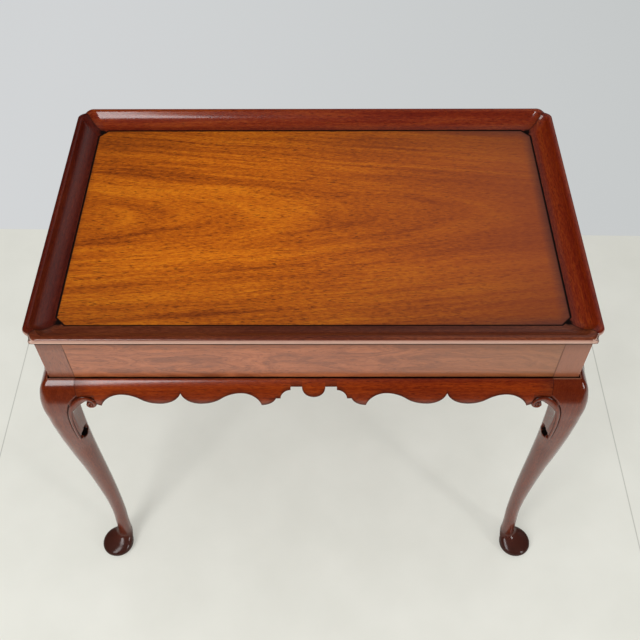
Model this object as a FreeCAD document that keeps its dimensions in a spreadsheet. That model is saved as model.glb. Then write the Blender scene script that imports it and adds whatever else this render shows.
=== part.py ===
import FreeCAD, Part
import itertools
import math
import os
import re

from FreeCAD import Placement, Rotation, Vector

# Tray top tea table in mahogany: a shallow tray with a moulded rim, a plain frieze,
# a scalloped and swelled apron, and four cabriole legs on pad feet.
# Millimetres. +X runs along the length, +Y to the back, +Z up. The origin lies on the
# floor under the middle of the table.

SIZES = (
    # whole table
    ("table_length", 762, "over the outer edge of the tray rim"),
    ("table_depth", 464, "over the outer edge of the tray rim"),
    ("table_height", 671.5, "floor to rim top"),
    # tray
    ("rim_width", 34.8, "outer edge of the rim in to the bed"),
    ("rim_overhang", 11.6, "rim edge out past the frieze"),
    ("rim_depth", 21.5, "rim top down to the rim's seat on the frame"),
    ("rim_foot", 0.8, "square at the foot of the rim's cove"),
    ("base_setback", 7.4, "rim's outer edge in to the square edge of its base"),
    ("base_height", 9, "square edge under the lobed lip"),
    ("lip_height", 6.5, "outer square face of the rim with its bead"),
    ("bead_width", 8, "rounded top of the rim"),
    ("lobe_depth", 10.4, "how far the rim's edge turns in at a mitre"),
    ("lobe_run", 34, "length of rim over which it turns in"),
    ("foot_turn", 6.2, "how far the foot of the rim turns in at a mitre"),
    ("tray_recess", 17, "rim top down to the bed"),
    ("panel_thickness", 12, "board of the bed"),
    ("panel_lap", 12.5, "rim over the panel's edge"),
    ("panel_play", 0.3, "round the panel in its rabbet"),
    # frame
    ("post_width", 36, "square top of each leg"),
    ("frieze_height", 81.6, "plain band under the rim"),
    ("rail_thickness", 22, "frieze rails"),
    ("tenon_length", 16, "frieze rail tenons"),
    ("tenon_thickness", 10, "frieze rail tenons"),
    ("tenon_shoulder", 9, "rail above and below its tenon"),
    ("tenon_setback", 7, "rail face in to its tenon"),
    ("joint_play", 0.2, "tenon in its mortise, each way"),
    # apron
    ("apron_projection", 21, "swell of the apron past the frieze"),
    ("apron_swell", 48, "height of the swelled quarter ellipse"),
    ("apron_thickness", 32, "apron, front to back"),
    ("apron_tenon_length", 12, "apron tenons"),
    ("apron_tenon_height", 14, "apron tenons"),
    ("apron_tenon_thickness", 9, "apron tenons"),
    ("apron_tenon_setback", 17, "apron swell in to its tenon"),
    ("apron_tenon_drop", 6, "frieze bottom down to the apron tenon"),
    ("seat_width", 24.4, "apron end that rests on a knee bracket"),
    ("seat_drop", 25.4, "frieze bottom down to a bracket's top"),
    ("heel_drop", 40.1, "frieze bottom down to the apron beside a bracket"),
    ("tip_width", 7.4, "bracket out to the pointed tip"),
    ("tip_drop", 43.9, "frieze bottom down to the tip"),
    ("arch_width", 31.3, "tip to the crown of the outer arch"),
    ("arch_drop", 20.9, "frieze bottom down to that crown"),
    ("sweep_width", 52.4, "crown to the lowest point of a lobe"),
    ("lobe_drop", 39.2, "frieze bottom down to a lobe"),
    ("cheek_width", 31, "lobe to the cusp beside it"),
    ("cusp_drop", 19, "frieze bottom down to the cusp"),
    ("half_lobe_width", 37.9, "cusp to the lobe in the middle of a short side"),
    ("inner_cheek_width", 27, "cusp to the inner lobe"),
    ("inner_sweep_width", 58.4, "inner lobe to the inner arch"),
    ("inner_arch_drop", 18.5, "frieze bottom down to the inner arch"),
    ("inner_arch_width", 27.5, "inner arch to the corner beside it"),
    ("corner_drop", 42.4, "frieze bottom down to that corner"),
    ("small_lobe_width", 20.8, "corner to the step"),
    ("step_drop", 27.9, "frieze bottom down to the step"),
    ("step_width", 6.5, "flat of the step"),
    ("hollow_radius", 14.3, "quarter hollow above the step"),
    ("centre_width", 16.1, "flat between that hollow and the middle drop"),
    ("centre_drop", 9, "frieze bottom down to the middle flat"),
    ("pendant_radius", 16.3, "half-round drop in the middle"),
    # knee brackets
    ("bracket_thickness", 28, "front to back"),
    ("bracket_setback", 0.3, "apron's face back to the bracket's face"),
    ("volute_radius", 6.8, "rolled end of a bracket"),
    ("volute_gap", 1.4, "volute back from the bracket's end"),
    ("volute_rise", 1, "volute's centre above the apron's heel"),
    ("neck_length", 2.2, "level run from the volute to the arch"),
    ("arch_lip", 1.2, "bracket's lower end in past the leg's inner face"),
    ("tail_lap", 0.4, "arch's foot in past the leg's inner face"),
    ("bracket_arch", 12, "volute up and over to the leg"),
    ("bracket_tail", 44, "bracket down its leg"),
    # legs
    ("ankle_height", 62, "floor to the thinnest part"),
    ("ankle_reach", -7.6, "ankle out past the rim's corner"),
    ("ankle_inset", 31, "rim's corner in to the back of the ankle"),
    ("pad_radius", 28.5, "pad foot"),
    ("pad_base_radius", 20, "disc under the pad"),
    ("pad_base_height", 3, "disc under the pad"),
    ("pad_height", 26, "pad foot, floor to the top of its dome"),
    ("pad_inset", 3, "rim's corner in to the centre of the pad"),
    # blocks
    ("corner_block_reach", 46, "along each rail past the post"),
    ("corner_block_height", 40, "corner blocks"),
    ("corner_block_drop", 40, "underside of the bed down to a corner block"),
    ("glue_block_side", 14, "legs of the three-cornered glue blocks"),
    ("glue_block_length", 60, "glue blocks"),
    ("glue_line", 0.1, "film between a block and what it is rubbed to"),
)

doc = FreeCAD.newDocument("tray_top_tea_table")
sheet = doc.addObject("Spreadsheet::Sheet", "Sizes")


def fill_sheet():
    for row, (alias, value, note) in enumerate(SIZES, start=1):
        sheet.set(f"A{row}", note)
        sheet.set(f"B{row}", str(value))
        sheet.setAlias(f"B{row}", alias)
    doc.recompute()


fill_sheet()
ALIASES = re.compile(r"\b(" + "|".join(alias for alias, value, note in SIZES) + r")\b")


def size(alias):
    """The sheet's number for one alias."""
    return float(sheet.get(alias))


def bind(feature, target, expression):
    """Ties a property to an expression written in the sheet's aliases."""
    feature.setExpression(target, ALIASES.sub(r"Sizes.\1", expression))


# ---------------------------------------------------------------- levels and lines
TOP = size("table_height")
BED = TOP - size("tray_recess")
FRAME_TOP = TOP - size("rim_depth")
RABBET_FLOOR = BED - size("panel_thickness")
FRIEZE_BOTTOM = FRAME_TOP - size("frieze_height")
BLOCK_BOTTOM = FRIEZE_BOTTOM - size("seat_drop")

# Insets are measured inward from the rim's outer edge.
FRIEZE_INSET = size("rim_overhang")
POST_INSET = FRIEZE_INSET + size("post_width")
RAIL_INSET = FRIEZE_INSET + size("rail_thickness")
PANEL_INSET = size("rim_width") - size("panel_lap")
RABBET_INSET = PANEL_INSET - size("panel_play")
APRON_INSET = FRIEZE_INSET - size("apron_projection")

SIDES = ("front", "right", "back", "left")
CORNERS = ("front_left", "front_right", "back_right", "back_left")
TURNS = (0, 90, 180, 270)


def is_long(side):
    return side in ("front", "back")


def run_alias(side):
    """The overall size that a side of the table runs along."""
    return "table_length" if is_long(side) else "table_depth"


def depth_alias(side):
    """The overall size that a side of the table looks across."""
    return "table_depth" if is_long(side) else "table_length"


# ---------------------------------------------------------------- drawing helpers
def plane_of(body, role):
    return next(plane for plane in body.Origin.OriginFeatures if plane.Role == role)


def sketch_on(body, role, name, edges, offset=Vector(0, 0, 0)):
    """A sketch of the given edges on one of the body's own planes."""
    sketch = body.newObject("Sketcher::SketchObject", name)
    sketch.AttachmentSupport = [(plane_of(body, role), "")]
    sketch.MapMode = "FlatFace"
    sketch.AttachmentOffset = Placement(offset, Rotation())
    for edge in edges:
        sketch.addGeometry(edge, False)
    return sketch


def flat(point):
    return Vector(point[0], point[1], 0)


def line(start, end):
    return Part.LineSegment(flat(start), flat(end))


def arc(start, middle, end):
    return Part.Arc(flat(start), flat(middle), flat(end))


def circle(x, y, radius):
    return Part.Circle(flat((x, y)), Vector(0, 0, 1), radius)


def closed_lines(points):
    """Straight edges round a closed outline."""
    return [line(start, end) for start, end in zip(points, points[1:] + points[:1])]


def rectangle(left, low, right, high):
    return closed_lines([(left, low), (right, low), (right, high), (left, high)])


def swing(level, end):
    """An arc that leaves the point level horizontally and runs to the point end."""
    run = end[0] - level[0]
    rise = end[1] - level[1]
    radius = (run ** 2 + rise ** 2) / (2 * abs(rise))
    half_turn = math.atan2(abs(rise), abs(run))
    middle = (
        level[0] + math.copysign(radius * math.sin(half_turn), run),
        level[1] + math.copysign(radius * (1 - math.cos(half_turn)), rise),
    )
    return arc(level, middle, end)


def new_body(label):
    body = doc.addObject("PartDesign::Body", label)
    body.Label = label
    return body


def pad(body, sketch, name, length, symmetric=False, away=False):
    """A pad whose length is an expression in the sheet's aliases."""
    feature = body.newObject("PartDesign::Pad", name)
    feature.Profile = sketch
    bind(feature, "Length", length)
    if symmetric:
        feature.SideType = "Symmetric"
    feature.Reversed = away
    return feature


def cut_down(body, sketch, name, depth, symmetric=False):
    """A pocket that must take wood away; its depth is an expression."""
    doc.recompute()
    before = body.Shape.Volume
    feature = body.newObject("PartDesign::Pocket", name)
    feature.Profile = sketch
    bind(feature, "Length", depth)
    if symmetric:
        feature.SideType = "Symmetric"
    doc.recompute()
    if body.Shape.Volume >= before:
        raise RuntimeError(name + " in " + body.Label + " cuts nothing")
    return feature


def stand_on_side(piece, side):
    """Puts a piece drawn for the front, with its outer edge on y = 0, on its side."""
    turn = TURNS[SIDES.index(side)]
    axis = "y" if is_long(side) else "x"
    sign = "-" if side in ("front", "left") else ""
    piece.Placement = Placement(Vector(0, 0, 0), Rotation(Vector(0, 0, 1), turn))
    bind(piece, "Placement.Base." + axis, f"{sign}{depth_alias(side)} / 2")


def stand_in_corner(piece, corner):
    """Puts a piece drawn inward from the rim's corner at (0, 0) in its corner."""
    turn = TURNS[CORNERS.index(corner)]
    x_sign = "-" if corner.endswith("left") else ""
    y_sign = "-" if corner.startswith("front") else ""
    piece.Placement = Placement(Vector(0, 0, 0), Rotation(Vector(0, 0, 1), turn))
    bind(piece, "Placement.Base.x", x_sign + "table_length / 2")
    bind(piece, "Placement.Base.y", y_sign + "table_depth / 2")


# ---------------------------------------------------------------- tray
LOBE_STEPS = 7
# The bead as shares of its width and of half the lip's height below the rim top, then
# the cove as shares of its run and fall.
BEAD_CURVE = ((0, 1), (0.16, 0.24), (0.55, 0), (1, 0.25))
COVE_CURVE = ((0, 0), (0.17, 0.42), (0.4, 0.74), (0.7, 0.93), (1, 1))


def make_panel():
    """The board that makes the bed. It drops into the frame's rabbet."""
    panel = doc.addObject("Part::Box", "tray_panel")
    panel.Label = "tray_panel"
    inset = "(rim_width - panel_lap)"
    bind(panel, "Length", f"table_length - 2 * {inset}")
    bind(panel, "Width", f"table_depth - 2 * {inset}")
    bind(panel, "Height", "panel_thickness")
    bind(panel, "Placement.Base.x", f"-table_length / 2 + {inset}")
    bind(panel, "Placement.Base.y", f"-table_depth / 2 + {inset}")
    bind(panel, "Placement.Base.z", "table_height - tray_recess - panel_thickness")
    return panel


def rim_turn(along):
    """Share of the full turn-in, from 1 at the mitre to 0 where the rim is straight."""
    left = max(0.0, 1 - along / size("lobe_run"))
    return 1 - math.sqrt(1 - left ** 2)


def rim_profile():
    """The rim's section as edges of (inset, height, turn-in) points.

    A bead and a hollow cove run down to the bed. The lip stands on a base with a square
    edge that doesn't follow its lobes, and the rabbeted underside laps frame and panel.
    """
    width = size("rim_width")
    bead = size("bead_width")
    lip = TOP - size("lip_height")
    foot = BED + size("rim_foot")
    half_lip = size("lip_height") / 2
    turn_out = size("lobe_depth")
    turn_in = size("foot_turn")

    def shaped(inset, height):
        return (inset, height, turn_out + (turn_in - turn_out) * inset / width)

    crown = [shaped(bead * run, TOP - half_lip * fall) for run, fall in BEAD_CURVE]
    brow = TOP - half_lip * BEAD_CURVE[-1][1]
    cove = [shaped(bead + (width - bead) * run, brow - (brow - foot) * fall)
            for run, fall in COVE_CURVE]
    base = size("base_setback")
    ledge = FRAME_TOP + size("base_height")
    return [
        [shaped(0, lip), shaped(0, TOP - half_lip)],
        crown,
        cove,
        [shaped(width, foot), shaped(width, BED)],
        [shaped(width, BED), (RABBET_INSET, BED, 0)],
        [(RABBET_INSET, BED, 0), (RABBET_INSET, FRAME_TOP, 0)],
        [(RABBET_INSET, FRAME_TOP, 0), (base, FRAME_TOP, 0)],
        [(base, FRAME_TOP, 0), (base, ledge, 0)],
        [(base, ledge, 0), shaped(0, lip)],
    ]


def rim_section(along, length, from_right):
    """The section parallel to a mitre, at a distance along the rim from it."""
    turn = rim_turn(along)

    def place(inset, height, share):
        inward = inset + share * turn
        run = inward + along
        return Vector(length / 2 - run if from_right else run - length / 2, inward, height)

    edges = []
    for stretch in rim_profile():
        points = [place(*point) for point in stretch]
        if len(points) == 2:
            edges.append(Part.LineSegment(*points).toShape())
        else:
            curve = Part.BSplineCurve()
            curve.interpolate(points)
            edges.append(curve.toShape())
    return Part.Wire(edges)


def rim_solid(length):
    """One rim piece, mitred at both ends where its edge turns in to a cusp."""
    stations = [(step / LOBE_STEPS) ** 2 * size("lobe_run") for step in range(LOBE_STEPS + 1)]
    left = [rim_section(along, length, False) for along in stations]
    right = [rim_section(along, length, True) for along in stations]
    lobes = [Part.makeLoft(sections, True, True) for sections in (left, right)]
    middle = Part.makeLoft([left[-1], right[-1]], True, True)
    return middle.fuse(lobes).removeSplitter()


def make_rim(side):
    rim = doc.addObject("Part::Feature", "rim_" + side)
    rim.Label = "rim_" + side
    rim.Shape = rim_solid(size(run_alias(side)))
    stand_on_side(rim, side)
    return rim


# ---------------------------------------------------------------- frame
def between_posts(side):
    return f"({run_alias(side)} - 2 * (rim_overhang + post_width))"


def make_rail(side):
    """A frieze rail with a rabbet for the panel and a stub tenon at each end."""
    rail = new_body("frieze_rail_" + side)
    section = sketch_on(rail, "YZ_Plane", "Section_" + side, closed_lines([
        (FRIEZE_INSET, FRIEZE_BOTTOM),
        (RAIL_INSET, FRIEZE_BOTTOM),
        (RAIL_INSET, RABBET_FLOOR),
        (RABBET_INSET, RABBET_FLOOR),
        (RABBET_INSET, FRAME_TOP),
        (FRIEZE_INSET, FRAME_TOP),
    ]))
    pad(rail, section, "Rail_" + side, between_posts(side), symmetric=True)
    inner = FRIEZE_INSET + size("tenon_setback")
    tenon = sketch_on(rail, "YZ_Plane", "Tenon_" + side, rectangle(
        inner,
        FRIEZE_BOTTOM + size("tenon_shoulder"),
        inner + size("tenon_thickness"),
        RABBET_FLOOR - size("tenon_shoulder"),
    ))
    pad(rail, tenon, "Tenons_" + side, between_posts(side) + " + 2 * tenon_length", symmetric=True)
    stand_on_side(rail, side)
    return rail


# ---------------------------------------------------------------- apron
# The scallops' widths, from a leg in to the cusp and from there to the middle.
OUTER_WIDTHS = ("tip_width", "arch_width", "sweep_width", "cheek_width")
INNER_WIDTHS = ("inner_cheek_width", "inner_sweep_width", "inner_arch_width",
                "small_lobe_width", "step_width", "centre_width")


def swell_reach(height):
    """How far the swelled face stands past the frieze at a height."""
    foot = FRIEZE_BOTTOM - size("apron_swell")
    share = max(0.0, (height - foot) / size("apron_swell"))
    return size("apron_projection") * math.sqrt(max(0.0, 1 - share ** 2))


def apron_section():
    """The apron's section: flat top and back, a quarter ellipse in front."""
    low = FRIEZE_BOTTOM - size("tip_drop")
    back = APRON_INSET + size("apron_thickness")
    swell_foot = FRIEZE_BOTTOM - size("apron_swell")
    tall, deep = size("apron_swell"), size("apron_projection")
    centre = flat((FRIEZE_INSET, swell_foot))
    if tall > deep:
        ellipse = Part.Ellipse(flat((FRIEZE_INSET, FRIEZE_BOTTOM)),
                               flat((FRIEZE_INSET - deep, swell_foot)), centre)
        first = 0.0
        last = math.acos((low - swell_foot) / tall)
    else:
        ellipse = Part.Ellipse(flat((FRIEZE_INSET - deep, swell_foot)),
                               flat((FRIEZE_INSET, FRIEZE_BOTTOM)), centre)
        first = -math.pi / 2
        last = -math.asin((low - swell_foot) / tall)
    swell = Part.ArcOfEllipse(ellipse, first, last)
    ends = sorted((swell.StartPoint, swell.EndPoint), key=lambda point: point.y)
    foot = (ends[0].x, ends[0].y)
    head = (ends[1].x, ends[1].y)
    return [swell, line(foot, (back, low)), line((back, low), (back, FRIEZE_BOTTOM)),
            line((back, FRIEZE_BOTTOM), head)]


def half_run(side):
    """From the middle of an apron out to the leg."""
    return size(run_alias(side)) / 2 - POST_INSET


def scallop_stretch(side):
    """How far the scallops' widths stretch to fill the run of an apron.

    The seat on a bracket keeps its width, and so do the round hollow and drop.
    """
    fixed = size("seat_width")
    widths = OUTER_WIDTHS + (INNER_WIDTHS if is_long(side) else ("half_lobe_width",))
    if is_long(side):
        fixed += size("hollow_radius") + size("pendant_radius")
    return (half_run(side) - fixed) / sum(size(alias) for alias in widths)


def end_scallops(end, stretch):
    """The lower edge from one end of the apron in to the cusp, and the cusp."""
    def at(inward, drop):
        return (end - inward, FRIEZE_BOTTOM - size(drop))

    seat = size("seat_width")
    tip, crown, lobe, cusp = (seat + stretch * reach for reach in
                              itertools.accumulate(size(alias) for alias in OUTER_WIDTHS))
    turn = (end - (crown + lobe) / 2,
            FRIEZE_BOTTOM - (size("arch_drop") + size("lobe_drop")) / 2)
    edges = [
        line(at(0, "seat_drop"), at(seat, "seat_drop")),
        line(at(seat, "seat_drop"), at(seat, "heel_drop")),
        line(at(seat, "heel_drop"), at(tip, "tip_drop")),
        swing(at(crown, "arch_drop"), at(tip, "tip_drop")),
        swing(at(crown, "arch_drop"), turn),
        swing(at(lobe, "lobe_drop"), turn),
        swing(at(lobe, "lobe_drop"), at(cusp, "cusp_drop")),
    ]
    return edges, at(cusp, "cusp_drop")


def long_middle(cusp, stretch):
    """The lower edge from a cusp to the middle, with the half-round drop."""
    def inward(start, width, drop):
        return (start[0] - stretch * size(width), FRIEZE_BOTTOM - size(drop))

    lobe = inward(cusp, "inner_cheek_width", "lobe_drop")
    crown = inward(lobe, "inner_sweep_width", "inner_arch_drop")
    turn = ((lobe[0] + crown[0]) / 2, (lobe[1] + crown[1]) / 2)
    corner = inward(crown, "inner_arch_width", "corner_drop")
    step = inward(corner, "small_lobe_width", "step_drop")
    hollow = inward(step, "step_width", "step_drop")
    radius = size("hollow_radius")
    hollow_top = (hollow[0] - radius, hollow[1] + radius)
    slant = radius * math.sqrt(0.5)
    hollow_middle = (hollow_top[0] + slant, hollow[1] + slant)
    centre = FRIEZE_BOTTOM - size("centre_drop")
    drop = size("pendant_radius")
    drop_slant = drop * math.sqrt(0.5)
    return [
        swing(lobe, cusp),
        swing(lobe, turn),
        swing(crown, turn),
        swing(crown, corner),
        swing(corner, step),
        line(step, hollow),
        arc(hollow, hollow_middle, hollow_top),
        line(hollow_top, (hollow_top[0], centre)),
        line((hollow_top[0], centre), (drop, centre)),
        arc((drop, centre), (drop_slant, centre - drop_slant), (0, centre - drop)),
    ]


def short_middle(cusp):
    """The lower edge from a cusp to the middle of a short side: one half lobe."""
    return [swing((0, FRIEZE_BOTTOM - size("lobe_drop")), cusp)]


def mirrored(edges):
    copies = []
    for edge in edges:
        twin = edge.copy()
        twin.mirror(Vector(0, 0, 0), Vector(0, 1, 0))
        copies.append(twin)
    return copies


def scallops(side):
    """What is sawn away under the apron, as a closed outline."""
    end = half_run(side)
    stretch = scallop_stretch(side)
    edges, cusp = end_scallops(end, stretch)
    edges += long_middle(cusp, stretch) if is_long(side) else short_middle(cusp)
    seat = FRIEZE_BOTTOM - size("seat_drop")
    below = FRIEZE_BOTTOM - 2 * size("tip_drop")
    frame = [line((-end, seat), (-end, below)), line((-end, below), (end, below)),
             line((end, below), (end, seat))]
    return edges + mirrored(edges) + frame


def make_apron(side):
    """A swelled and scalloped apron board, tenoned into the knees."""
    apron = new_body("apron_" + side)
    section = sketch_on(apron, "YZ_Plane", "Swell_" + side, apron_section())
    pad(apron, section, "Board_" + side, between_posts(side), symmetric=True)
    below = sketch_on(apron, "XZ_Plane", "Scallops_" + side, scallops(side))
    cut_down(apron, below, "Sawn_edge_" + side, "4 * apron_thickness", symmetric=True)
    inner = APRON_INSET + size("apron_tenon_setback")
    top = FRIEZE_BOTTOM - size("apron_tenon_drop")
    tenon = sketch_on(apron, "YZ_Plane", "Apron_tenon_" + side, rectangle(
        inner, top - size("apron_tenon_height"), inner + size("apron_tenon_thickness"), top))
    pad(apron, tenon, "Apron_tenons_" + side,
        between_posts(side) + " + 2 * apron_tenon_length", symmetric=True)
    stand_on_side(apron, side)
    return apron


# ---------------------------------------------------------------- legs
# Each station of the cabriole line: how far down it lies between knee block and ankle,
# the reach of the outer faces past the rim's corner, the inset of the inner faces, and
# how round the outer, side and inner corners are (1 makes a circle).
LEG_STATIONS = (
    (0.027, 9.6, 42.0, 0.55, 0.04, 0.10),
    (0.055, 10.9, 36.8, 0.62, 0.04, 0.28),
    (0.085, 11.4, 34.4, 0.68, 0.05, 0.45),
    (0.120, 11.0, 33.7, 0.74, 0.08, 0.60),
    (0.160, 10.9, 33.5, 0.80, 0.18, 0.72),
    (0.200, 10.3, 33.6, 0.86, 0.38, 0.82),
    (0.245, 9.5, 33.7, 0.92, 0.66, 0.92),
    (0.320, 7.2, 33.7, 0.98, 0.98, 0.98),
    (0.400, 3.9, 33.6, 0.98, 0.98, 0.98),
    (0.490, -0.2, 33.7, 0.98, 0.98, 0.98),
    (0.590, -3.9, 34.0, 0.98, 0.98, 0.98),
    (0.690, -6.9, 34.1, 0.98, 0.98, 0.98),
    (0.790, -9.4, 33.7, 0.98, 0.98, 0.98),
    (0.895, -9.9, 32.9, 0.98, 0.98, 0.98),
)
ROUND = 0.98
KNEE_ROUND = 0.45
KNEE_STEPS = 6
ARRIS = 0.02
# The foot below the ankle: height as a share of the pad's, and how far the section has
# swung out from the ankle's to the full pad's. Then the turn in to the base.
FOOT_FLARE = (
    (1.34, 0.05),
    (1.16, 0.13),
    (1.02, 0.26),
    (0.90, 0.45),
    (0.79, 0.68),
    (0.67, 0.87),
    (0.54, 0.97),
    (0.42, 1.00),
)
PAD_TUCK = (0.5, 0.8, 1.0)


def corner_square(outer, inner, rounds):
    """A square from outer to inner on both axes, with its four corners rounded.

    rounds holds the shares of the half width for the outer, side and inner corners. A
    share of 0 leaves that corner sharp.
    """
    half = (inner - outer) / 2
    outer_round, side_round, inner_round = (half * share for share in rounds)
    corners = (
        (outer, outer, 1, 1, outer_round),
        (inner, outer, -1, 1, side_round),
        (inner, inner, -1, -1, inner_round),
        (outer, inner, 1, -1, side_round),
    )
    arcs = []
    for x, y, right, up, radius in corners:
        on_x = (x + right * radius, y)
        on_y = (x, y + up * radius)
        slack = radius * (1 - math.sqrt(0.5))
        middle = (x + right * slack, y + up * slack)
        enters_on_y = right == up
        arcs.append((on_y, middle, on_x) if enters_on_y else (on_x, middle, on_y))
    edges = []
    for this, following in zip(arcs, arcs[1:] + arcs[:1]):
        if this[0] != this[2]:
            edges.append(arc(*this))
        edges.append(line(this[2], following[0]))
    return edges


def knee_stations():
    """Sections of the knee block, whose faces carry the apron's swell round."""
    foot = FRIEZE_BOTTOM - size("apron_swell")
    lowest = math.degrees(math.asin((BLOCK_BOTTOM - foot) / size("apron_swell")))
    stations = []
    for step in range(KNEE_STEPS + 1):
        share = step / KNEE_STEPS
        height = foot + size("apron_swell") * math.sin(math.radians(90 + share * (lowest - 90)))
        outer = FRIEZE_INSET - swell_reach(height)
        outer_round = ARRIS + share ** 1.5 * (KNEE_ROUND - ARRIS)
        stations.append((height, outer, POST_INSET, (outer_round, 0, 0)))
    return stations


def ankle_section():
    """How far out the ankle's two faces lie, as insets, and its rounding."""
    return -size("ankle_reach"), size("ankle_inset")


def foot_stations():
    """Round sections from under the ankle, out over the pad and in to its base."""
    pad = (size("pad_inset") - size("pad_radius"), size("pad_inset") + size("pad_radius"))
    stations = []
    for level, flare in FOOT_FLARE:
        outer, inner = (slim + flare * (wide - slim) for slim, wide in zip(ankle_section(), pad))
        stations.append((level * size("pad_height"), outer, inner, (ROUND, ROUND, ROUND)))
    tuck = size("pad_radius") - size("pad_base_radius")
    for share in PAD_TUCK:
        level = share * size("pad_base_height") + (1 - share) * stations[-1][0]
        ease = tuck * share ** 2
        stations.append((level, pad[0] + ease, pad[1] - ease, (ROUND, ROUND, ROUND)))
    return stations


def cabriole_stations():
    """Sections from the knee block down through the ankle to the top of the foot."""
    ankle = size("ankle_height")
    reach = BLOCK_BOTTOM - ankle
    height, outer, inner, rounds = knee_stations()[-1]
    stations = [(height, outer, inner, (rounds[0], ARRIS, ARRIS))]
    stations += [(BLOCK_BOTTOM - share * reach, -out, inset, rounds)
                 for share, out, inset, *rounds in LEG_STATIONS]
    stations.append((ankle, *ankle_section(), (ROUND, ROUND, ROUND)))
    stations.append(foot_stations()[0])
    return stations


def leg_inset(height):
    """How far in a leg's two inner faces lie at a height below its knee block."""
    stations = cabriole_stations()
    inset = stations[0][2]
    for (high, _, start, _), (low, _, end, _) in zip(stations, stations[1:]):
        share = min(1.0, max(0.0, (high - height) / (high - low)))
        inset += share * (end - start)
    return inset


def mortises(depth, setback, thickness):
    """The two mortises of one height, one in each inner face of a post."""
    play = size("joint_play")
    near, far = setback - play, setback + thickness + play
    low = POST_INSET - depth - play
    past = POST_INSET + depth
    return rectangle(low, near, past, far) + rectangle(near, low, far, past)


def loft(leg, name, stations):
    """A ruled loft through rounded squares at the given heights."""
    sections = [
        sketch_on(leg, "XY_Plane", f"{name}_{index}", corner_square(outer, inner, rounds),
                  Vector(0, 0, height))
        for index, (height, outer, inner, rounds) in enumerate(stations)
    ]
    feature = leg.newObject("PartDesign::AdditiveLoft", name)
    feature.Profile = sections[0]
    feature.Sections = sections[1:]
    feature.Ruled = True
    return feature


def make_leg(corner):
    """Post, knee, cabriole shank and pad foot from one piece of wood."""
    leg = new_body("leg_" + corner)
    loft(leg, "Shank_" + corner, cabriole_stations())
    loft(leg, "Knee_" + corner, knee_stations())
    post = sketch_on(leg, "XY_Plane", "Post_" + corner,
                     rectangle(FRIEZE_INSET, FRIEZE_INSET, POST_INSET, POST_INSET),
                     Vector(0, 0, FRIEZE_BOTTOM))
    pad(leg, post, "Post_block_" + corner, "frieze_height")
    loft(leg, "Foot_" + corner, foot_stations())
    base = sketch_on(leg, "XY_Plane", "Base_" + corner,
                     [circle(size("pad_inset"), size("pad_inset"), size("pad_base_radius"))])
    pad(leg, base, "Pad_base_" + corner, "pad_base_height")
    cut_joints(leg, corner)
    stand_in_corner(leg, corner)
    return leg


def cut_joints(leg, corner):
    """Mortises for rails and aprons, and the notch where the panel's corner lies."""
    play = size("joint_play")
    rail_top = RABBET_FLOOR - size("tenon_shoulder") + play
    rails = sketch_on(leg, "XY_Plane", "Rail_mortises_" + corner,
                      mortises(size("tenon_length"), FRIEZE_INSET + size("tenon_setback"),
                               size("tenon_thickness")),
                      Vector(0, 0, rail_top))
    cut_down(leg, rails, "Rail_mortise_" + corner,
             "frieze_height - (tray_recess + panel_thickness - rim_depth)"
             " - 2 * tenon_shoulder + 2 * joint_play")
    apron_top = FRIEZE_BOTTOM - size("apron_tenon_drop") + play
    aprons = sketch_on(leg, "XY_Plane", "Apron_mortises_" + corner,
                       mortises(size("apron_tenon_length"),
                                APRON_INSET + size("apron_tenon_setback"),
                                size("apron_tenon_thickness")),
                       Vector(0, 0, apron_top))
    cut_down(leg, aprons, "Apron_mortise_" + corner, "apron_tenon_height + 2 * joint_play")
    notch = sketch_on(leg, "XY_Plane", "Notch_" + corner,
                      rectangle(RABBET_INSET, RABBET_INSET, 2 * POST_INSET, 2 * POST_INSET),
                      Vector(0, 0, FRAME_TOP))
    cut_down(leg, notch, "Panel_notch_" + corner, "tray_recess + panel_thickness - rim_depth")


# ---------------------------------------------------------------- knee brackets
# How far into the leg's block a bracket's outline starts, before the leg is cut away.
BURIED = 0.4


def bracket_outline():
    """A bracket seen from outside: flat top, volute, and an arch down its leg."""
    right = POST_INSET + size("seat_width")
    radius = size("volute_radius")
    centre_z = FRIEZE_BOTTOM - size("heel_drop") + size("volute_rise")
    volute = (right - radius - size("volute_gap"), centre_z)
    low = BLOCK_BOTTOM - size("bracket_tail")
    buried = POST_INSET * BURIED
    slant = (volute[0] - radius * 0.6, radius * 0.8)
    volute_right = (volute[0] + radius, volute[1])
    volute_left = (slant[0], volute[1] + slant[1])
    spring = (volute_left[0] - size("neck_length"), volute_left[1])
    arch = size("bracket_arch")
    arch_middle = (spring[0] - arch * 0.8, spring[1] - arch * 0.62)
    foot = spring[1] - arch * 2
    arch_foot = (leg_inset(foot) - size("tail_lap"), foot)
    tip = leg_inset(low) - size("arch_lip")
    return [
        line((buried, BLOCK_BOTTOM), (right, BLOCK_BOTTOM)),
        line((right, BLOCK_BOTTOM), (right, centre_z)),
        line((right, centre_z), volute_right),
        arc(volute_right, (slant[0], volute[1] - slant[1]), volute_left),
        line(volute_left, spring),
        arc(spring, arch_middle, arch_foot),
        line(arch_foot, (tip, low)),
        line((tip, low), (buried, low)),
        line((buried, low), (buried, BLOCK_BOTTOM)),
    ]


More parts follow.
